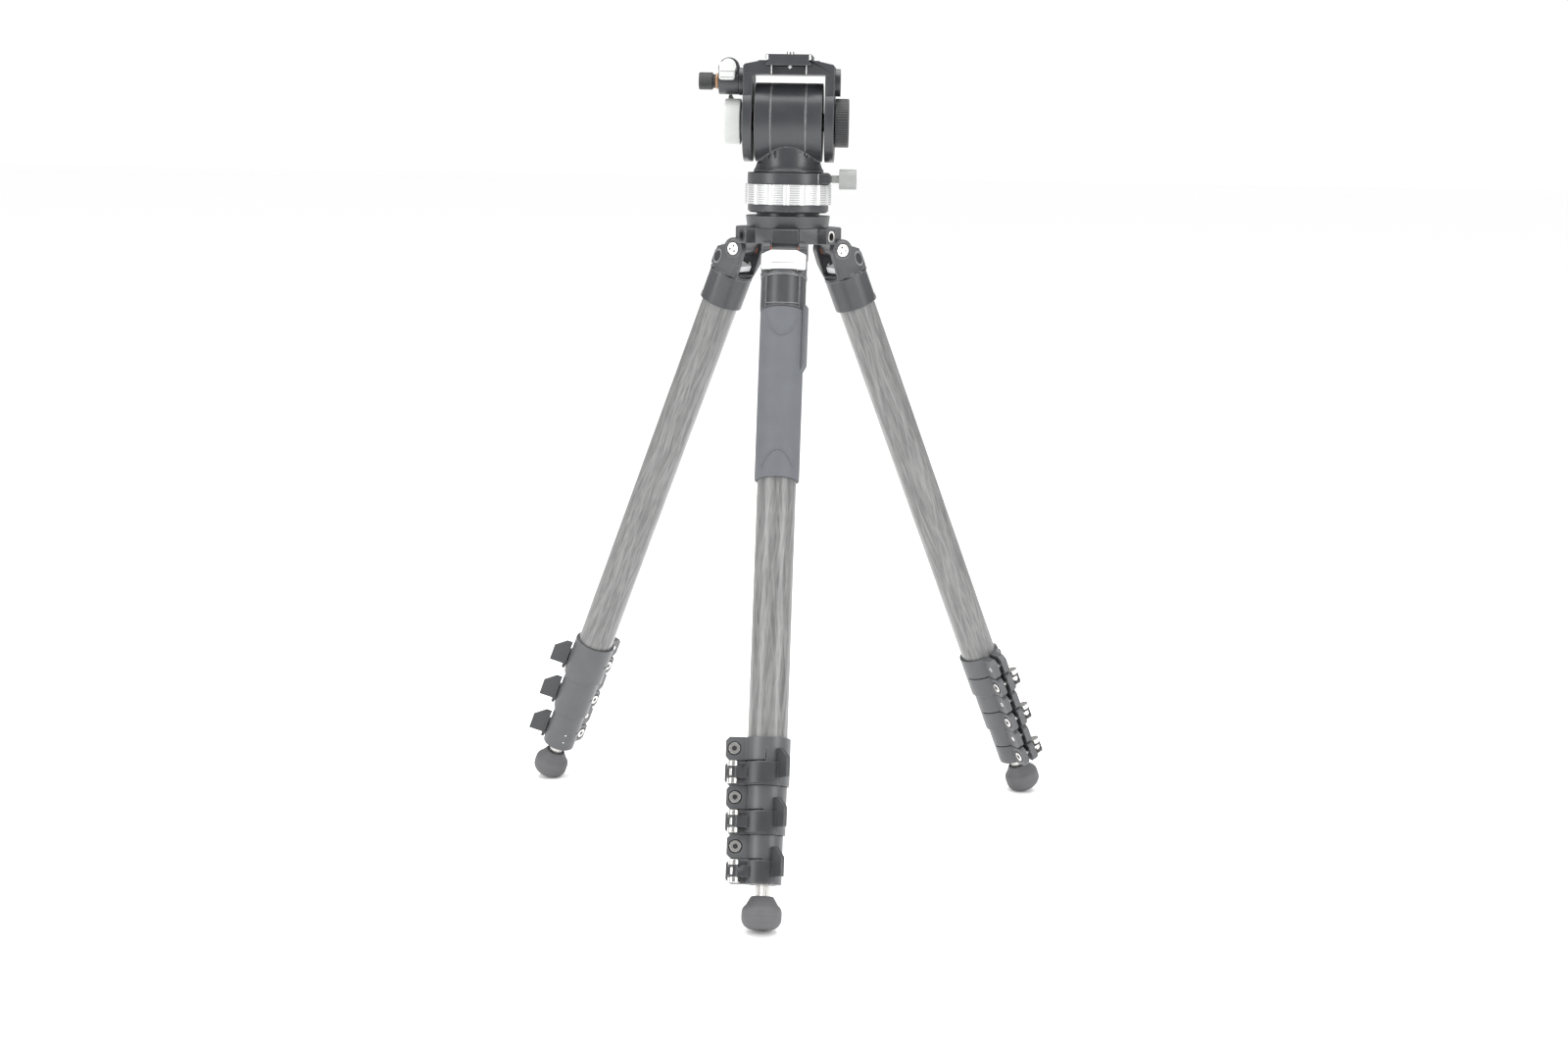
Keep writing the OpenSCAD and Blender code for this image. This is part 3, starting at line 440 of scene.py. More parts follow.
def carbon_tube():
    material, tree, shader = new_material("lacquered carbon", Coat_Weight=0.5, Coat_Roughness=0.22)
    rovings = use_group(tree, ROVINGS)
    shade = spread(tree, rovings.outputs["Shade"], -1.6, 2.2)
    colour = blend_colours(tree, shade, (0.078, 0.078, 0.078), (0.155, 0.155, 0.153))
    fleck = maths(tree, "MULTIPLY", maths(tree, "SUBTRACT", rovings.outputs["Threads"], 0.6), 7.0, clamp=True)
    tree.links.new(over(tree, maths(tree, "MULTIPLY", fleck, 0.35), colour, (0.42, 0.42, 0.4)),
                   shader.inputs["Base Color"])
    tree.links.new(spread(tree, rovings.outputs["Threads"], 0.36, 0.52), shader.inputs["Roughness"])
    bump(tree, shader, rovings.outputs["Threads"], 0.00003)
    return material


def ribbed(name, dark, light, rough, count, depth, metallic=0.0):
    """Metal or rubber with straight ribs for the fingers. The colour is darker in the valleys between the ribs: painted
    shade.
    """
    material, tree, shader = new_material(name, Metallic=metallic, Roughness=rough)
    ribs = use_group(tree, RIBS, Count=count)
    tree.links.new(blend_colours(tree, ribs.outputs["Height"], dark, light), shader.inputs["Base Color"])
    bump(tree, shader, ribs.outputs["Height"], depth)
    return material


def lined_rubber(name, dark, light, rough, pitch, depth):
    """Turned or moulded rubber with fine lines round it."""
    material, tree, shader = new_material(name, Specular_IOR_Level=0.4)
    lines = use_group(tree, TURNED, Pitch=pitch)
    tree.links.new(blend_colours(tree, lines.outputs["Lines"], dark, light), shader.inputs["Base Color"])
    tree.links.new(spread(tree, lines.outputs["Lines"], rough - 0.1, rough + 0.1), shader.inputs["Roughness"])
    bump(tree, shader, lines.outputs["Lines"], depth)
    return material


def ribbed_silver():
    """The levelling lock's ring: clear anodised, with fine level grooves between the flutes."""
    material, tree, shader = new_material("ribbed silver", Metallic=0.55)
    split = feed(tree, add(tree, "ShaderNodeSeparateXYZ"), Vector=place_of(tree))
    turns = maths(tree, "MULTIPLY", maths(tree, "ARCTAN2", split.outputs[1], split.outputs[0]), 16 / math.tau)
    across_flute = maths(tree, "FRACT", maths(tree, "ADD", turns, 0.5))
    from_flute = maths(tree, "ABSOLUTE", maths(tree, "SUBTRACT", across_flute, 0.5))
    land = maths(tree, "MULTIPLY", maths(tree, "SUBTRACT", from_flute, 0.17), 60.0, clamp=True)
    groove = maths(tree, "FRACT", maths(tree, "DIVIDE", split.outputs[2], 1.9 * MM))
    wave = maths(tree, "GREATER_THAN", groove, 0.62)
    cut = maths(tree, "MULTIPLY", wave, land)
    # The grooves take a darker colour: painted shade in them.
    tree.links.new(blend_colours(tree, cut, (0.62, 0.625, 0.62), (0.34, 0.34, 0.345)), shader.inputs["Base Color"])
    tree.links.new(spread(tree, cut, 0.3, 0.45), shader.inputs["Roughness"])
    bump(tree, shader, maths(tree, "MULTIPLY", cut, -1.0), 0.00025)
    return material


# The fifth colour of each coated metal is its edge colour: partly rubbing, partly painted highlight.
CASTING = coated_metal("black anodised casting", (0.026, 0.027, 0.03), (0.05, 0.051, 0.055),
                       0.34, (0.55, 0.55, 0.56), wear_and_highlight=0.8)
HEAD_BLACK = coated_metal("black anodised head", (0.022, 0.023, 0.026), (0.038, 0.039, 0.043),
                          0.3, (0.55, 0.55, 0.56), wear_and_highlight=0.8)
COLLAR = coated_metal("grey anodised collar", (0.052, 0.053, 0.056), (0.08, 0.082, 0.086),
                      0.38, (0.45, 0.45, 0.46))
LEVER = coated_metal("black anodised lever", (0.02, 0.021, 0.023), (0.036, 0.037, 0.04),
                     0.38, (0.35, 0.35, 0.36))
KNOB = ribbed("black ribbed knob", (0.012, 0.012, 0.013), (0.04, 0.04, 0.042), 0.48, 60.0, 0.0003)
ORANGE = coated_metal("orange anodised", (0.6, 0.13, 0.035), (0.75, 0.17, 0.05), 0.35, (0.9, 0.45, 0.3))
BRONZE = coated_metal("bronze washer", (0.32, 0.16, 0.07), (0.42, 0.22, 0.1), 0.35, (0.7, 0.5, 0.35))
SATIN = coated_metal("satin silver", (0.42, 0.43, 0.42), (0.51, 0.52, 0.51),
                     0.42, (0.6, 0.6, 0.59), wear_and_highlight=0.3)
MATT_GREY = coated_metal("matt grey knob", (0.2, 0.205, 0.2), (0.25, 0.255, 0.25),
                         0.5, (0.45, 0.45, 0.45), wear_and_highlight=0.3)
SPIDER_BLACK = coated_metal("black anodised spider", (0.026, 0.027, 0.029), (0.05, 0.051, 0.055),
                            0.32, (0.6, 0.6, 0.61), wear_and_highlight=0.8)
PALE = coated_metal("blasted silver", (0.55, 0.56, 0.56), (0.66, 0.67, 0.67),
                    0.36, (0.85, 0.85, 0.85), wear_and_highlight=0.3)
# Mid grey for painted lines: lighter than the black castings and head, where it paints highlights on groove and recess
# edges; darker than the pale tab and the silver bar end, where it paints shade in grooves and lines.
PAINTED_LINE = coated_metal("painted light and shade line", (0.12, 0.12, 0.13), (0.18, 0.18, 0.19), 0.4, (0.3, 0.3, 0.3))
STEEL = bare_metal("turned steel", (0.6, 0.59, 0.57), (0.74, 0.73, 0.71), 0.26)
STEM = ribbed("fluted steel", (0.42, 0.41, 0.39), (0.75, 0.74, 0.72), 0.3, 22.0, 0.0004, metallic=1.0)
RIBBED = ribbed_silver()
CARBON = carbon_tube()
FOOT_RUBBER = lined_rubber("foot rubber", (0.066, 0.066, 0.069), (0.105, 0.105, 0.109), 0.6, 0.0009, 0.00012)
GRIP_RUBBER = soft_rubber("grip rubber", (0.08, 0.084, 0.093), (0.106, 0.111, 0.121), 0.6, 0.0004, 0.00005)
FOAM = soft_rubber("foam grip", (0.02, 0.02, 0.02), (0.032, 0.032, 0.032), 0.8, 0.0008, 0.00015)
# Near black for painted shade inside holes, hex sockets, recesses and the left port's bush.
PAINTED_SHADE = coated_metal("painted shade", (0.008, 0.008, 0.009), (0.014, 0.014, 0.015),
                      0.6, (0.05, 0.05, 0.05), wear_and_highlight=0.1)

SLOT_OF = {sub["node"]: sub["material_slot"] for sub in frame["record"]["subparts"]}
LOOK_OF_SLOT = {
    "casting_black": CASTING, "collar_grey": COLLAR, "carbon": CARBON, "silver": SATIN, "steel": STEEL,
    "rubber": FOOT_RUBBER, "grip_rubber": GRIP_RUBBER, "orange": ORANGE, "knob_black": KNOB, "foam": FOAM,
}


# ---- Pieces ----


def finish_piece(name, shape, body, slot, material, own=UPRIGHT, bevel=0.0, angle=34, segments=2):
    """Makes a bmesh an object at the origin that rides on a body."""
    mesh = bpy.data.meshes.new(name)
    shape.to_mesh(mesh)
    shape.free()
    mesh.polygons.foreach_set("use_smooth", [True] * len(mesh.polygons))
    mesh.set_sharp_from_angle(angle=math.radians(angle))
    inverse = own.inverted()
    place = mesh.attributes.new("place", "FLOAT_VECTOR", "POINT")
    place.data.foreach_set("vector", [c for v in mesh.vertices for c in inverse @ v.co])
    mesh.materials.append(material)
    piece = bpy.data.objects.new(name, mesh)
    bpy.context.scene.collection.objects.link(piece)
    if bevel:
        edges = piece.modifiers.new("rounded edges", "BEVEL")
        edges.width = bevel
        edges.segments = segments
        edges.limit_method = "ANGLE"
        edges.angle_limit = math.radians(angle)
        edges.use_clamp_overlap = False
        edges.harden_normals = True
    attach(piece, body)
    return piece


def copy_of(node):
    """A merged copy of a CAD node's mesh, with its flat faces whole."""
    shape = bmesh.new()
    shape.from_mesh(frame["nodes"][node].data)
    bmesh.ops.remove_doubles(shape, verts=shape.verts, dist=0.002 * MM)
    bmesh.ops.dissolve_limit(shape, angle_limit=math.radians(0.5), verts=shape.verts, edges=shape.edges)
    return shape


def solids_of(shape):
    """Splits a bmesh into its closed solids, largest first."""
    left, groups = set(shape.verts), []
    while left:
        reached, edge = set(), [left.pop()]
        while edge:
            vertex = edge.pop()
            reached.add(vertex.index)
            for link in vertex.link_edges:
                other = link.other_vert(vertex)
                if other in left:
                    left.remove(other)
                    edge.append(other)
        groups.append(reached)
    parts = []
    for group in groups:
        part = shape.copy()
        part.verts.ensure_lookup_table()
        bmesh.ops.delete(part, geom=[v for v in part.verts if v.index not in group], context="VERTS")
        parts.append(part)
    shape.free()
    return sorted(parts, key=lambda part: -part.calc_volume())


LOOKS = {}  # each node's main finished piece


def soften(node, material=None, others=None, bevel=0.4 * MM, own=UPRIGHT, **settings):
    """Stands for a CAD node, with rounded edges. A solid past the first takes the others' look."""
    shape = copy_of(node)
    shape.verts.index_update()
    body = frame["nodes"][node]["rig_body"]
    look = material or LOOK_OF_SLOT[SLOT_OF[node]]
    made = []
    for number, part in enumerate(solids_of(shape) if others else [shape]):
        name = f"{node}_look" + (f"_{number + 1}" if number else "")
        piece = finish_piece(name, part, body, SLOT_OF[node], others[min(number, len(others)) - 1] if number else look,
                             own, bevel if number == 0 else min(bevel, 0.25 * MM), **settings)
        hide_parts(node)
        LOOKS.setdefault(node, piece)
        made.append(piece)
    return made


def lathe(profile, steps=64):
    """A closed ring or a solid from a profile of (radius, height), spun round Z."""
    shape = bmesh.new()
    corners = [shape.verts.new((radius, 0, height)) for radius, height in profile]
    edges = [shape.edges.new((a, b)) for a, b in zip(corners, corners[1:])]
    if profile[0][0] > 0 and profile[-1][0] > 0:
        edges.append(shape.edges.new((corners[-1], corners[0])))
    bmesh.ops.spin(shape, geom=corners + edges, cent=(0, 0, 0), axis=(0, 0, 1), angle=math.tau, steps=steps,
                   use_merge=True)
    bmesh.ops.remove_doubles(shape, verts=shape.verts, dist=0.001 * MM)
    bmesh.ops.recalc_face_normals(shape, faces=shape.faces)
    return shape


def dome(radius, height, base=0.4 * MM, steps=24):
    """A low round head standing on Z = 0, with its base below."""
    quarter = [math.radians(angle) for angle in range(0, 91, 15)]
    arc = [(radius * math.sin(angle), height * math.cos(angle)) for angle in quarter]
    return lathe(arc + [(radius, -base), (0, -base)], steps)


def block(width, depth, height):
    shape = bmesh.new()
    bmesh.ops.create_cube(shape, size=1.0)
    bmesh.ops.scale(shape, vec=(width, depth, height), verts=shape.verts)
    return shape


def moved(shape, matrix):
    bmesh.ops.transform(shape, matrix=matrix, verts=shape.verts)
    return shape


def bead(path, radius, closed=False):
    """A round bead along a path, as a bmesh."""
    curve = bpy.data.curves.new("bead", "CURVE")
    curve.dimensions = "3D"
    curve.bevel_depth = radius
    curve.bevel_resolution = 1
    curve.use_fill_caps = True
    line = curve.splines.new("POLY")
    line.points.add(len(path) - 1)
    for point, at in zip(line.points, path):
        point.co = (*at, 1)
    line.use_cyclic_u = closed
    carrier = bpy.data.objects.new("bead", curve)
    mesh = bpy.data.meshes.new_from_object(carrier)
    shape = bmesh.new()
    shape.from_mesh(mesh)
    bpy.data.objects.remove(carrier)
    bpy.data.curves.remove(curve)
    bpy.data.meshes.remove(mesh)
    bmesh.ops.remove_doubles(shape, verts=shape.verts, dist=0.001 * MM)
    return shape


def across_leg(side, x, y, z, towards):
    """A place in a leg's frame with Z towards the leg's +Y, -Y, +X or -X."""
    turns = {"+Y": ("X", -90), "-Y": ("X", 90), "+X": ("Y", 90), "-X": ("Y", -90)}
    axis, degrees = turns[towards]
    return LEG[side] @ Matrix.Translation((x, y, z)) @ Matrix.Rotation(math.radians(degrees), 4, axis)


SHOWN = {}  # the pieces that each image point stands for

# ---- Legs ----


def dress_leg(side):
    own = LEG[side]
    leg = f"leg_{side}"
    soften(f"casting_{side}", bevel=0.7 * MM, own=own, segments=3)
    soften(f"angle_tab_{side}", PALE, bevel=0.5 * MM, own=own)
    for n in (1, 2, 3, 4):
        soften(f"tube_{n}_{side}", bevel=0.0, own=own)
    for n in (1, 2, 3):
        soften(f"collar_{n}_{side}", others=[STEEL], own=own, bevel=0.5 * MM)
        soften(f"lever_{n}_{side}", LEVER, own=own, bevel=0.25 * MM)
    soften(f"foot_{side}", others=[STEM], own=own, bevel=0.8 * MM, segments=3)
    dress_hip(side, leg)
    dress_sleeve(side, leg)
    for n in (1, 2, 3):
        dress_lock(side, n)


EAR_RIMS = {}


def dress_hip(side, leg):
    """Raised rim round each hip cap, and the cap's three wrench holes, as near-black discs of painted shade."""
    rim = [(5.9, 0), (6.3, 0.7), (7.3, 0.7), (7.9, 0)]
    for towards, way in (("+Y", 1), ("-Y", -1)):
        at = across_leg(side, -TUBE_OFFSET, way * EAR_FACE, 0, towards)
        shape = moved(lathe([(r * MM, h * MM) for r, h in rim]), at)
        EAR_RIMS.setdefault(side, []).append(
            finish_piece(f"ear_rim_{side}_{way + 1}", shape, leg, "casting_black", CASTING, LEG[side]))
        for hole in range(3):
            angle = math.radians(90 + 120 * hole)
            x, z = 2.7 * MM * math.cos(angle), 2.7 * MM * math.sin(angle)
            spot = across_leg(side, -TUBE_OFFSET + x, way * (HIP_CAP_FACE + 0.05 * MM), z, towards)
            shape = moved(lathe([(0, 0), (0.9 * MM, 0), (0.9 * MM, -0.3 * MM), (0, -0.3 * MM)], 20), spot)
            finish_piece(f"cap_hole_{side}_{way + 1}_{hole}", shape, "spider", "steel", PAINTED_SHADE, LEG[side])


def dress_sleeve(side, leg):
    """Bead round the sleeve and the border of its bare nameplate; the border's lighter grey is a painted highlight on
    the recess's edge.
    """
    own = LEG[side]
    z = -SLEEVE_TOP - 1.5 * MM
    profile = [(SLEEVE_R - 0.3 * MM, z + 1.2 * MM), (SLEEVE_R + 0.35 * MM, z), (SLEEVE_R - 0.3 * MM, z - 1.2 * MM)]
    finish_piece(f"sleeve_bead_{side}", moved(lathe(profile, 96), own), leg, "casting_black", CASTING, own)
    top, low = -SLEEVE_TOP - 2.6 * MM, -SLEEVE_END + 2.6 * MM
    half, arch = math.radians(46), 1.2 * MM
    steps = [k / 12 for k in range(-12, 13)]
    upper = [(half * t, top + arch * math.cos(t * math.pi / 2)) for t in steps]
    lower = [(-half * t, low + arch * (1 - math.cos(t * math.pi / 2))) for t in steps]
    radius = SLEEVE_R - 0.1 * MM
    path = [(radius * math.cos(angle), radius * math.sin(angle), height) for angle, height in upper + lower]
    border = moved(bead(path, 0.28 * MM, closed=True), own)
    finish_piece(f"nameplate_border_{side}", border, leg, "casting_black", PAINTED_LINE, own)


def dress_tabs():
    """Fine dark line across each pull tab: painted shade in a thin groove."""
    at, _ = place_on(POINTS["tab_line"], LOOKS["angle_tab_front"])
    height = (LEG["front"].inverted() @ at).z
    for side in SIDES:
        line = moved(block(0.2 * MM, 20 * MM, 0.6 * MM), LEG[side] @ Matrix.Translation((TAB_FACE, 0, height)))
        SHOWN["tab_line"] = SHOWN.get("tab_line") or [
            finish_piece(f"tab_line_{side}", line, f"tab_{side}", "silver", PAINTED_LINE, LEG[side])]


def dress_lock(side, n):
    """Hex sockets of the two clamp bolts, as near-black hexagons of painted shade."""
    body = f"leg_{side}" if n == 1 else f"section_{n}_{side}"
    top = LOCK_START + (n - 1) * LOCK_PITCH
    y = -(COLLAR_R[n - 1] + LUG_REACH / 2)
    for towards, x, z in (("+X", 9.45 * MM, top + BAND_H / 2), ("-X", -7.45 * MM, top + LOCK_H - BAND_H / 2)):
        spot = across_leg(side, x, y, -z, towards)
        socket = moved(lathe([(0, 0), (2.2 * MM, 0), (2.2 * MM, -0.4 * MM), (0, -0.4 * MM)], 6), spot)
        finish_piece(f"bolt_socket_{n}_{side}_{'outer' if x > 0 else 'inner'}", socket, body, "collar_grey", PAINTED_SHADE, LEG[side])


for side in SIDES:
    dress_leg(side)


def dress_grip():
    """Arched lines at both ends of the leg grip, and its flap."""
    own = LEG["front"]
    soften("leg_grip", own=own, bevel=0.9 * MM, segments=3)
    radius = TUBE_R[0] + GRIP_WALL
    at, _ = place_on(POINTS["grip_arch"], LOOKS["leg_grip"])
    spot = own.inverted() @ at
    middle = math.atan2(spot.y, spot.x)
    half, rise, spacing = math.radians(44), 14 * MM, 111 * MM
    for name, way, height in (("upper", 1, spot.z), ("lower", -1, spot.z - spacing)):
        path = []
        for k in range(-14, 15):
            angle = middle + half * k / 14
            level = height - way * rise * (math.cos(k / 14 * math.pi / 2) - 0.5)
            path.append((radius * math.cos(angle), radius * math.sin(angle), level))
        line = finish_piece(f"grip_arch_{name}", moved(bead(path, 0.65 * MM), own), "leg_front", "grip_rubber",
                            GRIP_RUBBER, own)
        SHOWN.setdefault("grip_arch", [line])
    at, _ = place_on(POINTS["grip_flap"], LOOKS["leg_grip"])
    spot = own.inverted() @ at
    flap = block(3.4 * MM, 9 * MM, 57 * MM)
    slanted = [v for v in flap.verts if v.co.x > 0 and v.co.z < 0]
    bmesh.ops.translate(flap, vec=(0, 0, 6 * MM), verts=slanted)
    turn = Matrix.Rotation(math.atan2(spot.y, spot.x), 4, "Z") @ Matrix.Translation((radius + 1.1 * MM, 0, 0))
    flap = moved(flap, own @ Matrix.Translation((0, 0, spot.z)) @ turn)
    SHOWN["grip_flap"] = [finish_piece("grip_flap", flap, "leg_front", "grip_rubber", GRIP_RUBBER, own,
                                       bevel=0.7 * MM, segments=3)]


def on_both_faces(side_of_point, at, normal):
    """The same place on both faces of every leg: (side, face, frame on the surface)."""
    own = LEG[side_of_point]
    spot, out = own.inverted() @ at, own.to_3x3().inverted() @ normal
    for side in SIDES:
        for face, way in enumerate((1, -1)):
            here = LEG[side] @ Vector((spot.x, way * spot.y, spot.z))
            there = LEG[side].to_3x3() @ Vector((out.x, way * out.y, out.z))
            yield side, face, facing(here, there, LEG[side].to_3x3() @ Vector((0, 0, 1)))


def dress_castings():
    """Oval guides beside the pull tabs, with a painted highlight round them and painted shade inside, and the small
    screws inside the forks.
    """
    at, normal = place_on(POINTS["casting_oval"], LOOKS["casting_right"])
    for side, face, spot in on_both_faces("right", at, normal):
        rim = ((2.9, -0.6), (2.9, 0.3), (3.3, 0.5), (3.8, 0.3), (3.8, -0.6))
        border = lathe([(r * MM, h * MM) for r, h in rim], 40)
        inset = lathe([(0, 0.1 * MM), (3 * MM, 0.1 * MM), (3 * MM, -0.6 * MM), (0, -0.6 * MM)], 40)
        # The border's lighter grey is a painted highlight; the inset's near black is painted shade.
        for name, shape, look in (("oval_border", border, PAINTED_LINE), ("oval_inset", inset, PAINTED_SHADE)):
            bmesh.ops.scale(shape, vec=(1, 1.75, 1), verts=shape.verts)
            piece = finish_piece(f"{name}_{side}_{face}", moved(shape, spot), f"leg_{side}", "casting_black", look,
                                 LEG[side])
            if side == "right":
                SHOWN.setdefault("casting_oval", []).append(piece)
    at, normal = place_on(POINTS["casting_screw"], LOOKS["casting_left"])
    for side, face, spot in on_both_faces("left", at, normal):
        piece = finish_piece(f"fork_screw_{side}_{face}", moved(dome(1.3 * MM, 0.7 * MM), spot), f"leg_{side}",
                             "casting_black", STEEL, LEG[side])
        if side == "left":
            SHOWN.setdefault("casting_screw", []).append(piece)


def dress_collar_dots():
    """Two bright pins near the foot of each lowest lock."""
    at, normal = place_on(POINTS["collar_dot"], LOOKS["collar_3_left"])
    own = LEG["left"]
    spot, out = own.inverted() @ at, own.to_3x3().inverted() @ normal
    for side in SIDES:
        for number, rise in enumerate((0, 8 * MM)):
            here = LEG[side] @ Vector((spot.x, spot.y, spot.z + rise))
            frame_here = facing(here, LEG[side].to_3x3() @ out, LEG[side].to_3x3() @ Vector((0, 0, 1)))
            pin = moved(dome(0.75 * MM, 0.3 * MM, steps=16), frame_here)
            piece = finish_piece(f"collar_pin_{side}_{number}", pin, f"section_3_{side}", "collar_grey", STEEL,
                                 LEG[side])
            if side == "left":
                SHOWN.setdefault("collar_dot", [piece])


dress_grip()
dress_tabs()
dress_castings()
dress_collar_dots()

# ---- Spider, bowl and hips ----

soften("spider", SPIDER_BLACK, bevel=0.6 * MM)
soften("bowl", SPIDER_BLACK, bevel=0.6 * MM)
soften("hip_pins", bevel=0.3 * MM)
soften("hip_washers", bevel=0.0)
soften("level_ball", HEAD_BLACK, bevel=0.0)
soften("level_base", bevel=0.4 * MM)
soften("level_ring", RIBBED, bevel=0.4 * MM)
soften("pan_base", HEAD_BLACK, bevel=0.6 * MM)
soften("pan_lock", MATT_GREY, bevel=0.6 * MM)
soften("head_body", HEAD_BLACK, bevel=0.5 * MM, own=DRUM)
soften("cradle_bridge", HEAD_BLACK, bevel=0.6 * MM)
soften("cradle_arms", HEAD_BLACK, bevel=0.8 * MM)
soften("rosettes", HEAD_BLACK, bevel=0.2 * MM)
soften("camera_plate", HEAD_BLACK, bevel=0.5 * MM)
soften("camera_screw", bevel=0.2 * MM)
soften("drag_knob", bevel=1.0 * MM, own=DRUM)
soften("tilt_lock", bevel=0.6 * MM, own=DRUM)
soften("bar_clamp", bevel=0.5 * MM)
soften("bar_clamp_screw", bevel=0.5 * MM, own=ROSETTE_AXIS)
soften("pan_bar", others=[SATIN], bevel=0.6 * MM)


def dress_ports():
    """Threaded bush in each accessory port. The left port's bush is near black: painted shade on a steel bush like the
    others.
    """
    for name in ("port_right", "port_left", "port_back"):
        spot = Vector(MOUNTS[name]["pos_m"])
        out = Vector((spot.x, spot.y, 0)).normalized()
        at = facing(Vector((0, 0, spot.z)) + PORT_FACE * out, out, Vector((0, 0, 1)))
        rim = ((3.3, -1), (3.3, 0.2), (3.6, 0.35), (4.9, 0.35), (5.1, 0), (5.1, -1))
        profile = [(r * MM, h * MM) for r, h in rim]
        # The left bush takes painted shade instead of steel.
        bush = finish_piece(f"bush_{name}", moved(lathe(profile, 48), at), "spider", "steel",
                            PAINTED_SHADE if name == "port_left" else STEEL, at)
        if name == "port_right":
            SHOWN["port_insert"] = [bush]


def dress_drum():
    """Bright line in each of the drum's two grooves: a painted highlight of the groove's edges."""
    for name, way in (("right", 1), ("left", -1)):
        middle = way * (DRUM_W / 4 + 0.5 * MM)
        profile = [(r * MM, h * MM + middle) for r, h in ((32.3, -0.3), (32.75, -0.3), (32.75, 0.3), (32.3, 0.3))]
        line = moved(lathe(profile, 128), DRUM)
        finish_piece(f"groove_highlight_{name}", line, "pan_head", "casting_black", PAINTED_LINE, DRUM)


def dress_plate():
    """Polished rails beside the plate, edges of the channel under it, and its stud."""
    low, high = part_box("camera_plate")
    bridge_low, bridge_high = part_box("cradle_bridge")
    clear = max(low[2], bridge_high[2]) + 0.2 * MM  # the rails pass over the bridge as the plate slides
    for name, way in (("right", 1), ("left", -1)):
        rail = moved(block(1.5 * MM, 0.5 * MM, high[2] - clear - 0.6 * MM),
                     Matrix.Translation((way * 17.8 * MM, low[1] - 0.1 * MM, (clear + high[2] - 0.6 * MM) / 2)))
        finish_piece(f"plate_rail_{name}", rail, "plate", "casting_black", PALE, bevel=0.1 * MM)
        edge = moved(block(0.7 * MM, 0.5 * MM, 7.4 * MM),
                     Matrix.Translation((way * 14.6 * MM, bridge_low[1] - 0.1 * MM, bridge_low[2] + 4.1 * MM)))
        finish_piece(f"channel_edge_{name}", edge, "tilt_cradle", "casting_black", PALE, bevel=0.1 * MM)
    at, normal = place_on(POINTS["plate_stud"], LOOKS["cradle_bridge"])
    stud = moved(dome(1.9 * MM, 1.0 * MM, steps=4), facing(at, normal, Vector((0, 0, 1))))
    SHOWN["plate_stud"] = [finish_piece("plate_stud", stud, "tilt_cradle", "steel", PALE)]


def dress_bar():
    """Silver clamp block at the bar's front end, and the bronze washer of the clamp's knob."""
    clamp_low, clamp_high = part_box("bar_clamp")
    bar_low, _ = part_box("pan_bar")
    middle_x = (clamp_low[0] + clamp_high[0]) / 2 - 0.5 * MM
    front = Matrix.Translation((middle_x, bar_low[1], ROSETTE.z + BAR_DROP))
    end = moved(block(13.4 * MM, 9 * MM, 15 * MM), front @ Matrix.Translation((0, 4.6 * MM, 0)))
    finish_piece("bar_end_block", end, "bar", "silver", SATIN, bevel=2.2 * MM, segments=4)
    # Two dark lines across the block's front: painted shade lines.
    for number, drop in enumerate((0.5 * MM, 5.4 * MM)):
        line = moved(block(11 * MM, 0.3 * MM, 0.5 * MM), front @ Matrix.Translation((0, 0.05 * MM, -drop)))
        finish_piece(f"bar_end_line_{number}", line, "bar", "silver", PAINTED_LINE)
    ring = [(r * MM, h * MM) for r, h in ((5.85, 0), (6.5, 0), (6.5, 1.6), (5.85, 1.6))]
    beside_clamp = Matrix.Translation((clamp_low[0] - 2.2 * MM, ROSETTE.y, ROSETTE.z))
    at = beside_clamp @ Matrix.Rotation(math.radians(90), 4, "Y")
    finish_piece("bronze_washer", moved(lathe(ring, 48), at), "bar_clamp_screw", "casting_black", BRONZE, at)


dress_ports()
dress_drum()
dress_plate()
dress_bar()

# ---- Stage ----


def make_floor():
    floor = bmesh.new()
    bmesh.ops.create_grid(floor, x_segments=1, y_segments=1, size=30.0)
    mesh = bpy.data.meshes.new("floor")
    floor.to_mesh(mesh)
    floor.free()
    material, tree, shader = new_material("pale floor", Base_Color=(0.97, 0.97, 0.97, 1), Roughness=0.8)
    mesh.materials.append(material)
    piece = bpy.data.objects.new("floor", mesh)
    piece.location.z = -0.05 * MM
    bpy.context.scene.collection.objects.link(piece)


def make_light(name, at, size, power):
    light = bpy.data.lights.new(name, "AREA")
    light.shape = "RECTANGLE"
    light.size, light.size_y = size
    light.energy = power
    lamp = bpy.data.objects.new(name, light)
    lamp.location = at
    lamp.rotation_euler = (Vector((0, 0, 0.35)) - Vector(at)).to_track_quat("-Z", "Y").to_euler()
    bpy.context.scene.collection.objects.link(lamp)


def make_world():
    """White behind the object, and a dimmer grey in its reflections."""
    world = bpy.data.worlds.new("white studio")
    world.use_nodes = True
    tree = world.node_tree
    background = tree.nodes["Background"]
    background.inputs["Color"].default_value = (1, 1, 1, 1)
    mirrored = add(tree, "ShaderNodeLightPath").outputs["Is Glossy Ray"]
    tree.links.new(spread(tree, mirrored, 1.1, 0.4), background.inputs["Strength"])
    bpy.context.scene.world = world


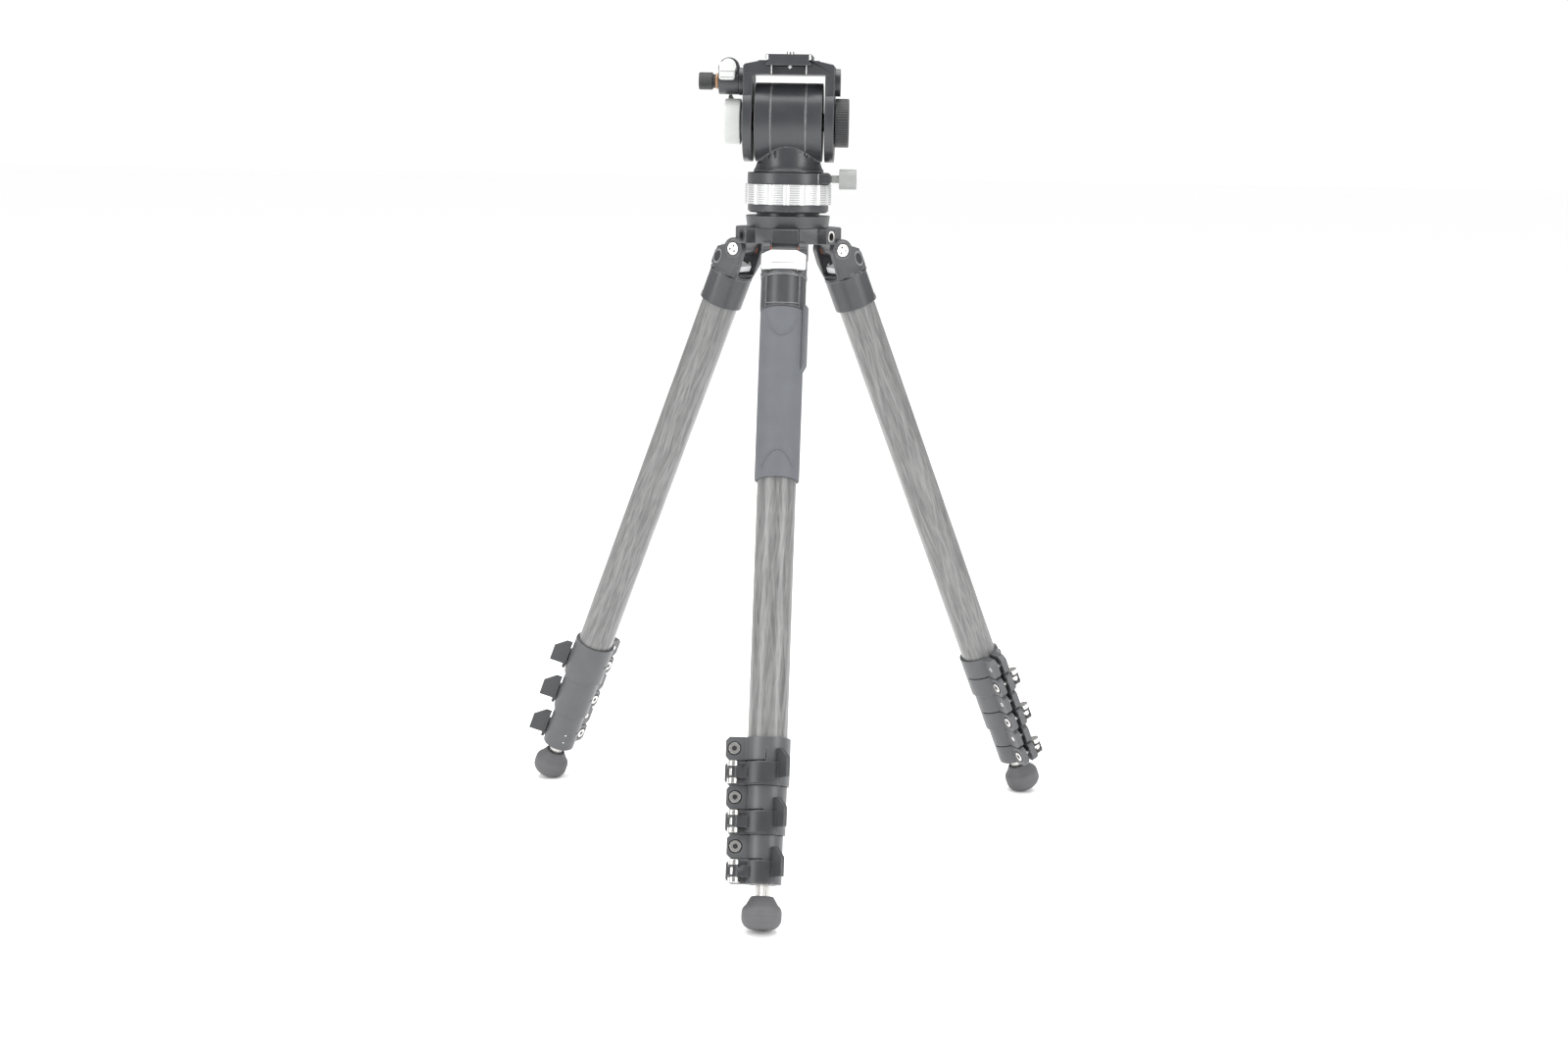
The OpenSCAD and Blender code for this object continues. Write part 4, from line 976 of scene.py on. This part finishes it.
make_floor()
make_world()
make_light("overhead softbox", (0.0, 0.2, 2.6), (3.0, 2.4), 90)
make_light("left softbox", (-1.9, -1.5, 1.2), (1.0, 2.0), 32)
make_light("right softbox", (1.9, -1.5, 1.2), (1.0, 2.0), 32)
bpy.context.scene.view_settings.view_transform = "Standard"

# ---- Image points of what shows ----

SHOWN.update({name: [LOOKS[name]] for name in ("drag_knob", "tilt_lock", "pan_lock", "level_ring")})
SHOWN.update({f"{side}_foot": [LOOKS[f"foot_{side}"]] for side in ("left", "right")})
SHOWN.update({f"{side}_hip_cap": EAR_RIMS[side] for side in ("left", "right")})
SHOWN["clamp_knob"] = [LOOKS["bar_clamp_screw"]]


def corners_of(pieces):
    """Rows of the finished vertices of some pieces."""
    looks = bpy.context.evaluated_depsgraph_get()
    rows = []
    for piece in pieces:
        mesh = piece.evaluated_get(looks).to_mesh()
        places = np.empty(len(mesh.vertices) * 3, dtype=np.float32)
        mesh.vertices.foreach_get("co", places)
        rows.append(places.reshape(-1, 3))
    return np.concatenate(rows)


def shows(place, slack=1.5 * MM):
    """Whether nothing stands between the camera and a place."""
    way = Vector(place) - CAMERA_AT
    hit, at, *_ = bpy.context.scene.ray_cast(bpy.context.evaluated_depsgraph_get(), CAMERA_AT, way.normalized())
    return not hit or (at - CAMERA_AT).length > way.length - slack


def middle_of(pieces):
    """Image point of the middle of what shows of some pieces, or None."""
    places = corners_of(pieces)
    places = places[:: max(1, len(places) // 1500)]
    seen = [place for place in places if shows(place)]
    if not seen:
        return None
    marks = images_of(seen)
    return (marks.min(axis=0) + marks.max(axis=0)) / 2


def edge_of(axis, last):
    """Outermost image coordinate of the finished vertices that show, or None."""
    places = corners_of(LOOKS.values())
    marks = images_of(places)[:, axis]
    order = np.argsort(-marks if last else marks)
    return next((marks[k] for k in order[:4000] if shows(places[k])), None)


def write_points():
    """Finds where each image point's thing shows, in x and y."""
    edges = {"left_edge": (0, False), "right_edge": (0, True), "top_edge": (1, False)}
    for name, point in POINTS.items():
        if name in edges:
            axis, last = edges[name]
            found = [None, None]
            found[axis] = edge_of(axis, last)
        else:
            found = middle_of(SHOWN[name]) if name in SHOWN else None


write_points()
